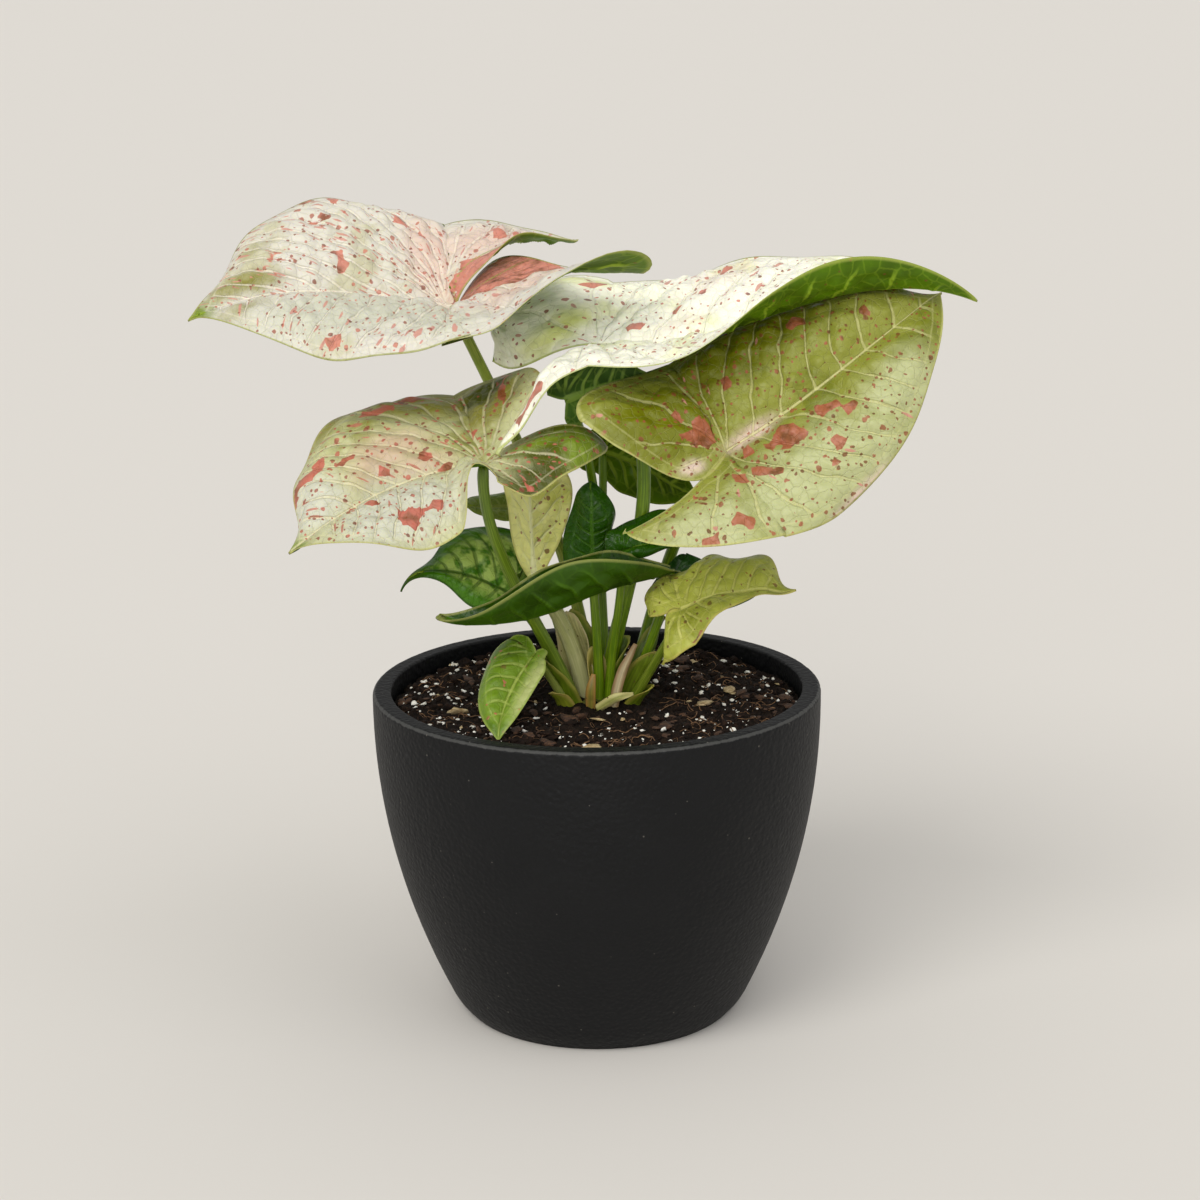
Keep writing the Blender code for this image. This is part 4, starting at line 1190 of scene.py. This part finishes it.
def pot_material():
    """Matt black, finely pebbled, with a nicked rim that is paler along its rounded edges, partly from
    rubbing and partly as a painted highlight, and a little dust.
    """
    n = Nodes("pot")
    place = n.position()
    colour = n.mix(n.band(n.noise(place, 18.0, 4.0, 0.6), 0.3, 0.7), (0, 1, 3), (3, 4, 6))
    grains = n.noise(place, 1.6, 3.0, 0.55)
    colour = n.over(colour, (14, 16, 18), 0.35, n.band(grains, 0.56, 0.7))
    # Paler grey patches along the rim's rounded edges: partly rubbing, partly a painted highlight on the
    # rim's bevels.
    scuffs_and_sheen = n.band(n.scaled(n.noise(place, 2.2, 4.0, 0.65), 0.9, n.field("rim_wear_and_sheen")), 0.95, 1.3)
    colour = n.over(colour, (84, 84, 82), 0.6, scuffs_and_sheen)
    colour = n.over(colour, (118, 114, 106), 0.5, n.specks(place, 3.4, 0.2, 0.05, 0.1, "3D"))
    pits = n.cells(place, 1.5, feature="SMOOTH_F1", dimensions="3D")
    height = n.add(n.times(pits, 0.9), n.times(grains, 0.7))
    return n.finish(colour, n.scaled(grains, 0.2, 0.5), (height, 0.9, 0.34), 0.28)


def add_pot():
    profile, sides = pot_profile(), 360
    turns = circle(sides)
    level = np.broadcast_to(profile[:, 1:], (len(profile), sides))
    points = np.stack((profile[:, :1] * np.cos(turns), profile[:, :1] * np.sin(turns), level), axis=-1)
    points = points.reshape(-1, 3)
    radius, height = np.hypot(points[:, 0], points[:, 1]), points[:, 2]
    outer = ((radius - POT_RIM_RADIUS + 0.6) / 0.9) ** 2 + ((height - POT_HEIGHT + 0.6) / 0.9) ** 2
    inner = ((radius - POT_MOUTH_RADIUS - 0.3) / 0.8) ** 2 + ((height - POT_HEIGHT + 0.3) / 0.8) ** 2
    edge, inner_edge = np.exp(-outer), np.exp(-inner)
    rough = np.array([noise.fractal(Vector(p) / 2.6, 0.7, 2.0, 3) for p in points])
    nick = np.array([max(0.0, noise.noise(Vector(p) / 3.7) - 0.35) for p in points])
    inward = -points / np.maximum(np.linalg.norm(points, axis=1), 1.0)[:, None]
    skin = np.where(height > 0.5, 0.05, 0.0) * rough
    points = points + inward * (skin + nick * 1.6 * np.maximum(edge, inner_edge))[:, None]
    faces = grid_triangles(len(profile), sides, closed=True)
    # How near each point is to the rim's rounded edges, where the rim is paler: partly rubbing, partly a
    # painted highlight.
    points, faces, rim_wear_and_sheen = merged(points, faces, np.clip(edge + 0.5 * inner_edge, 0, 1))
    obj = add_mesh("planter", points, faces, [pot_material()], {"rim_wear_and_sheen": rim_wear_and_sheen})
    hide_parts("pot")


# ---- Soil ----

SOIL_RADIUS = POT_MOUTH_RADIUS - 0.5
rng = np.random.default_rng(7)


def soil_height(x, y):
    """Height of the soil's surface, without its finest crumbs."""
    radius = hypot(x, y)
    mound = 3.0 * exp(-((radius / 24.0) ** 2))
    mound += 2.4 * exp(-(((x + 24) / 15) ** 2 + ((y - 52) / 12) ** 2))
    edge = 1.2 * band(np.array(radius), SOIL_RADIUS - 5, SOIL_RADIUS).item()
    rolling = 1.3 * noise.noise(Vector((x / 17, y / 17, 0.5)))
    clods = 1.5 * noise.fractal(Vector((x / 4.2, y / 4.2, 1.7)), 0.75, 2.1, 5)
    return SOIL_TOP + 2.2 + mound + rolling + clods - edge


def soil_material(name, low, high):
    n = Nodes(name)
    place = n.position()
    crumbs = n.noise(place, 1.4, 6.0, 0.7)
    colour = n.mix(n.band(crumbs, 0.35, 0.66), low, high)
    colour = n.over(colour, (20, 13, 10), 0.5, n.band(n.noise(place, 9.0, 3.0), 0.45, 0.7))
    fibre = n.noise(n.stretched(place, (1.0, 0.22, 0.5)), 0.6, 3.0)
    colour = n.over(colour, (92, 66, 46), 0.5, n.band(fibre, 0.62, 0.72))
    return n.finish(colour, 0.95, (n.add(crumbs, n.times(fibre, 0.5)), 0.9, 0.9), 0.2)


def add_soil():
    """The soil's surface as a closed disc with crumbs and clods."""
    rings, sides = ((130, 300))
    radii = SOIL_RADIUS * np.sqrt(np.linspace(0.0008, 1, rings))
    turns = circle(sides)
    x = np.append(np.outer(radii, np.cos(turns)).ravel(), 0.0)
    y = np.append(np.outer(radii, np.sin(turns)).ravel(), 0.0)
    z = np.array([soil_height(px, py) for px, py in zip(x, y)])
    crumbs = np.array([noise.noise(Vector(place) / 1.1) for place in zip(x, y, z)])
    top = np.stack((x, y, z + 0.45 * crumbs), axis=1)
    centre = rings * sides
    low = top[centre - sides : centre] * (1, 1, 0) + (0, 0, SOIL_TOP - 6)
    points = np.vstack((top, low, [(0.0, 0.0, SOIL_TOP - 6)]))
    middle, bottom = np.full(sides, centre), np.full(sides, len(points) - 1)
    first = np.arange(sides)
    last, lower = first + centre - sides, first + centre + 1
    first_on, last_on, lower_on = (np.roll(ring, -1) for ring in (first, last, lower))
    wall = ((last, lower, lower_on), (last, lower_on, last_on))
    fans = ((middle, first, first_on), *wall, (bottom, lower_on, lower))
    faces = [grid_triangles(rings, sides, turned=True, closed=True)] + [np.stack(fan, axis=1) for fan in fans]
    material = soil_material("potting_mix", (12, 8, 5), (40, 28, 19))
    obj = add_mesh("potting_mix", points, np.vstack(faces), [material])
    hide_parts("soil")


def strewn_at(low, high):
    """A random place on the soil, between these distances from the middle."""
    radius = low + (high - low) * sqrt(rng.random())
    turn = rng.random() * 2 * pi
    return radius * cos(turn), radius * sin(turn)


def unit_ball():
    """A unit ball of triangles: an icosahedron, each triangle cut into four."""
    golden = (1 + sqrt(5)) / 2
    corners = [(s, t * golden, 0) for s in (-1, 1) for t in (-1, 1)]
    corners += [(0, s, t) for s, t, _ in corners] + [(t, 0, s) for s, t, _ in corners]
    points = np.array(corners, float)
    points /= np.linalg.norm(points, axis=1)[:, None]
    near = np.linalg.norm(points[:, None] - points[None], axis=2) < 1.2
    faces = []
    for i, j, k in combinations(range(12), 3):
        if near[i, j] and near[j, k] and near[i, k]:
            turn = np.dot(np.cross(points[j] - points[i], points[k] - points[i]), points[i])
            faces.append((i, j, k) if turn > 0 else (i, k, j))
    i, j, k = np.array(faces).T
    mids = [points[p] + points[q] for p, q in ((i, j), (j, k), (k, i))]
    mids = [mid / np.linalg.norm(mid, axis=1)[:, None] for mid in mids]
    ab, bc, ca = (np.arange(len(i)) + len(points) + m * len(i) for m in range(3))
    faces = np.vstack([np.stack(t, axis=1) for t in ((i, ab, ca), (j, bc, ab), (k, ca, bc), (ab, bc, ca))])
    return merged(np.vstack((points, *mids)), faces)


def add_scatter(name, material, count, sizes, flatness, sink, jag):
    """Irregular lumps strewn over the soil, all in one piece."""
    ball, faces = unit_ball()
    points = []
    for k in range(count):
        x, y = strewn_at(17.0, SOIL_RADIUS - 1.5)
        size = sizes[0] + (sizes[1] - sizes[0]) * rng.random() ** 3
        scale = size / 2 * np.array((1 + rng.random(), 0.7 + 0.5 * rng.random(), flatness))
        rough = 1 + jag * np.array([noise.noise(Vector(p) * 1.3 + Vector((k * 3.1, 0, 0))) for p in ball])
        spin = Matrix.Rotation(rng.random() * 6.28, 3, "Z") @ Matrix.Rotation(rng.normal() * 0.5, 3, "X")
        body = ball * rough[:, None] * scale @ np.array(spin).T
        points.append(body + (x, y, soil_height(x, y) + size * sink))
    triangles = [faces + len(ball) * k for k in range(count)]
    obj = add_mesh(name, np.vstack(points), np.vstack(triangles), [material])


def perlite_material():
    n = Nodes("perlite")
    place = n.position()
    grain = n.noise(place, 0.5, 3.0)
    colour = n.mix(n.band(grain, 0.35, 0.7), (244, 240, 226), (255, 254, 250))
    colour = n.over(colour, (186, 160, 118), 0.5, n.band(n.noise(place, 3.0, 2.0), 0.55, 0.75))
    return n.finish(colour, 0.8, (grain, 0.6, 0.3))


def bark_material(name, low, high):
    n = Nodes(name)
    grain = n.noise(n.stretched(n.position(), (0.5, 2.0, 1.0)), 1.0, 4.0, 0.6)
    return n.finish(n.mix(n.band(grain, 0.35, 0.65), low, high), 0.8, (grain, 0.8, 0.5))


def add_fibres(name, count, lengths, thickness, material, lift):
    """Rootlets and peat fibres: thin crooked threads that lie on the soil."""
    points, triangles, total = [], [], 0
    for _ in range(count):
        x, y = strewn_at(16.0, SOIL_RADIUS - 4)
        heading = rng.random() * 2 * pi
        length = lengths[0] + (lengths[1] - lengths[0]) * rng.random() ** 2
        curl = rng.normal() * 0.35
        line = []
        for k in range(9):
            line.append((x, y, soil_height(x, y) + thickness * 0.3 + lift * sin(k / 8 * pi)))
            heading += curl + rng.normal() * 0.25
            x += length / 8 * cos(heading)
            y += length / 8 * sin(heading)
        if max(hypot(px, py) for px, py, _ in line) > SOIL_RADIUS - 1:
            continue
        thick = thickness * (0.6 + 0.8 * rng.random()) * np.linspace(1, 0.45, 9) / 2
        body, faces, _, _ = tube(np.array(line), thick, 5)
        points.append(body)
        triangles.append(faces + total)
        total += len(body)
    obj = add_mesh(name, np.vstack(points), np.vstack(triangles), [material])


# ---- Stage ----


def add_floor():
    """A plain pale floor."""
    mesh = bpy.data.meshes.new("floor")
    size = 12.0
    corners = [(-size, -size, 0), (size, -size, 0), (size, size, 0), (-size, size, 0)]
    mesh.from_pydata(corners, [], [(0, 1, 2, 3)])
    mesh.materials.append(Nodes("floor").finish((222, 218, 212), 0.85))
    obj = placed("floor", mesh)


def add_sun(name, place, power, softness, colour):
    """Even light from far off in this direction; softness is the sun's width in degrees."""
    data = bpy.data.lights.new(name, "SUN")
    data.energy = power
    data.angle = radians(softness)
    data.color = colour
    obj = placed(name, data)
    obj.location = place
    obj.rotation_mode = "QUATERNION"
    obj.rotation_quaternion = (-Vector(place)).to_track_quat("-Z", "Y")


def add_lighting():
    add_sun("key", (-0.5, -0.8, 1.0), 1.2, 32.0, (1.0, 0.985, 0.95))
    add_sun("fill", (0.7, -0.8, 1.2), 0.45, 50.0, (0.97, 0.98, 1.0))
    add_sun("front", (-0.1, -1.0, 0.4), 0.75, 30.0, (1.0, 0.99, 0.97))
    world = bpy.data.worlds.new("studio")
    world.use_nodes = True
    sky = world.node_tree.nodes["Background"].inputs
    sky["Color"].default_value = (1.0, 0.99, 0.97, 1.0)
    sky["Strength"].default_value = 0.55
    bpy.context.scene.world = world
    bpy.context.scene.view_settings.view_transform = "Standard"


CAMERA_PLACE = Vector((0.0, -0.912, 0.381))
CAMERA_DOWN, CAMERA_YAW, CAMERA_ROLL = (radians(a) for a in (14.73, 0.09, -0.66))


def add_camera():
    data = bpy.data.cameras.new("camera")
    data.lens = 85.0
    data.sensor_width = 36.0
    obj = placed("camera", data)
    aside, ahead = sin(CAMERA_YAW), cos(CAMERA_YAW)
    forward = Vector((aside * cos(CAMERA_DOWN), ahead * cos(CAMERA_DOWN), -sin(CAMERA_DOWN)))
    level = Vector((ahead, -aside, 0.0))
    upright = level.cross(forward)
    right = cos(CAMERA_ROLL) * level + sin(CAMERA_ROLL) * upright
    up = cos(CAMERA_ROLL) * upright - sin(CAMERA_ROLL) * level
    obj.matrix_world = Matrix.Translation(CAMERA_PLACE) @ Matrix((right, up, -forward)).transposed().to_4x4()
    bpy.context.scene.camera = obj


def main():
    add_camera()
    add_lighting()
    add_floor()
    add_pot()
    add_soil()
    add_scatter("clods", soil_material("clods", (16, 10, 7), (48, 33, 24)), 1500, (0.8, 3.2), 0.7, 0.08, 0.8)
    add_scatter("perlite", perlite_material(), 760, (0.35, 1.5), 0.7, 0.45, 0.7)
    bark = bark_material("bark_chips", (150, 122, 80), (214, 194, 150))
    add_scatter("bark_chips", bark, 30, (1.2, 4.6), 0.3, 0.35, 0.8)
    dark_bark = bark_material("dark_chips", (44, 28, 18), (92, 62, 40))
    add_scatter("dark_chips", dark_bark, 220, (1.2, 4.0), 0.35, 0.25, 0.8)
    add_fibres("fibres", 260, (4, 14), 0.35, bark_material("fibres", (84, 58, 38), (140, 104, 70)), 0.8)
    add_stem_base()
    for name, look in LOOKS.items():
        blade, stalk = BLADES[name], STALKS[name]
        add_blade(name, blade, look)
        add_stalk(name, stalk, blade)
        if name in SHEATHS:
            add_sheath(name, SHEATHS[name], stalk, blade)
    for strip in STRIPS:
        add_strip(*strip)


main()
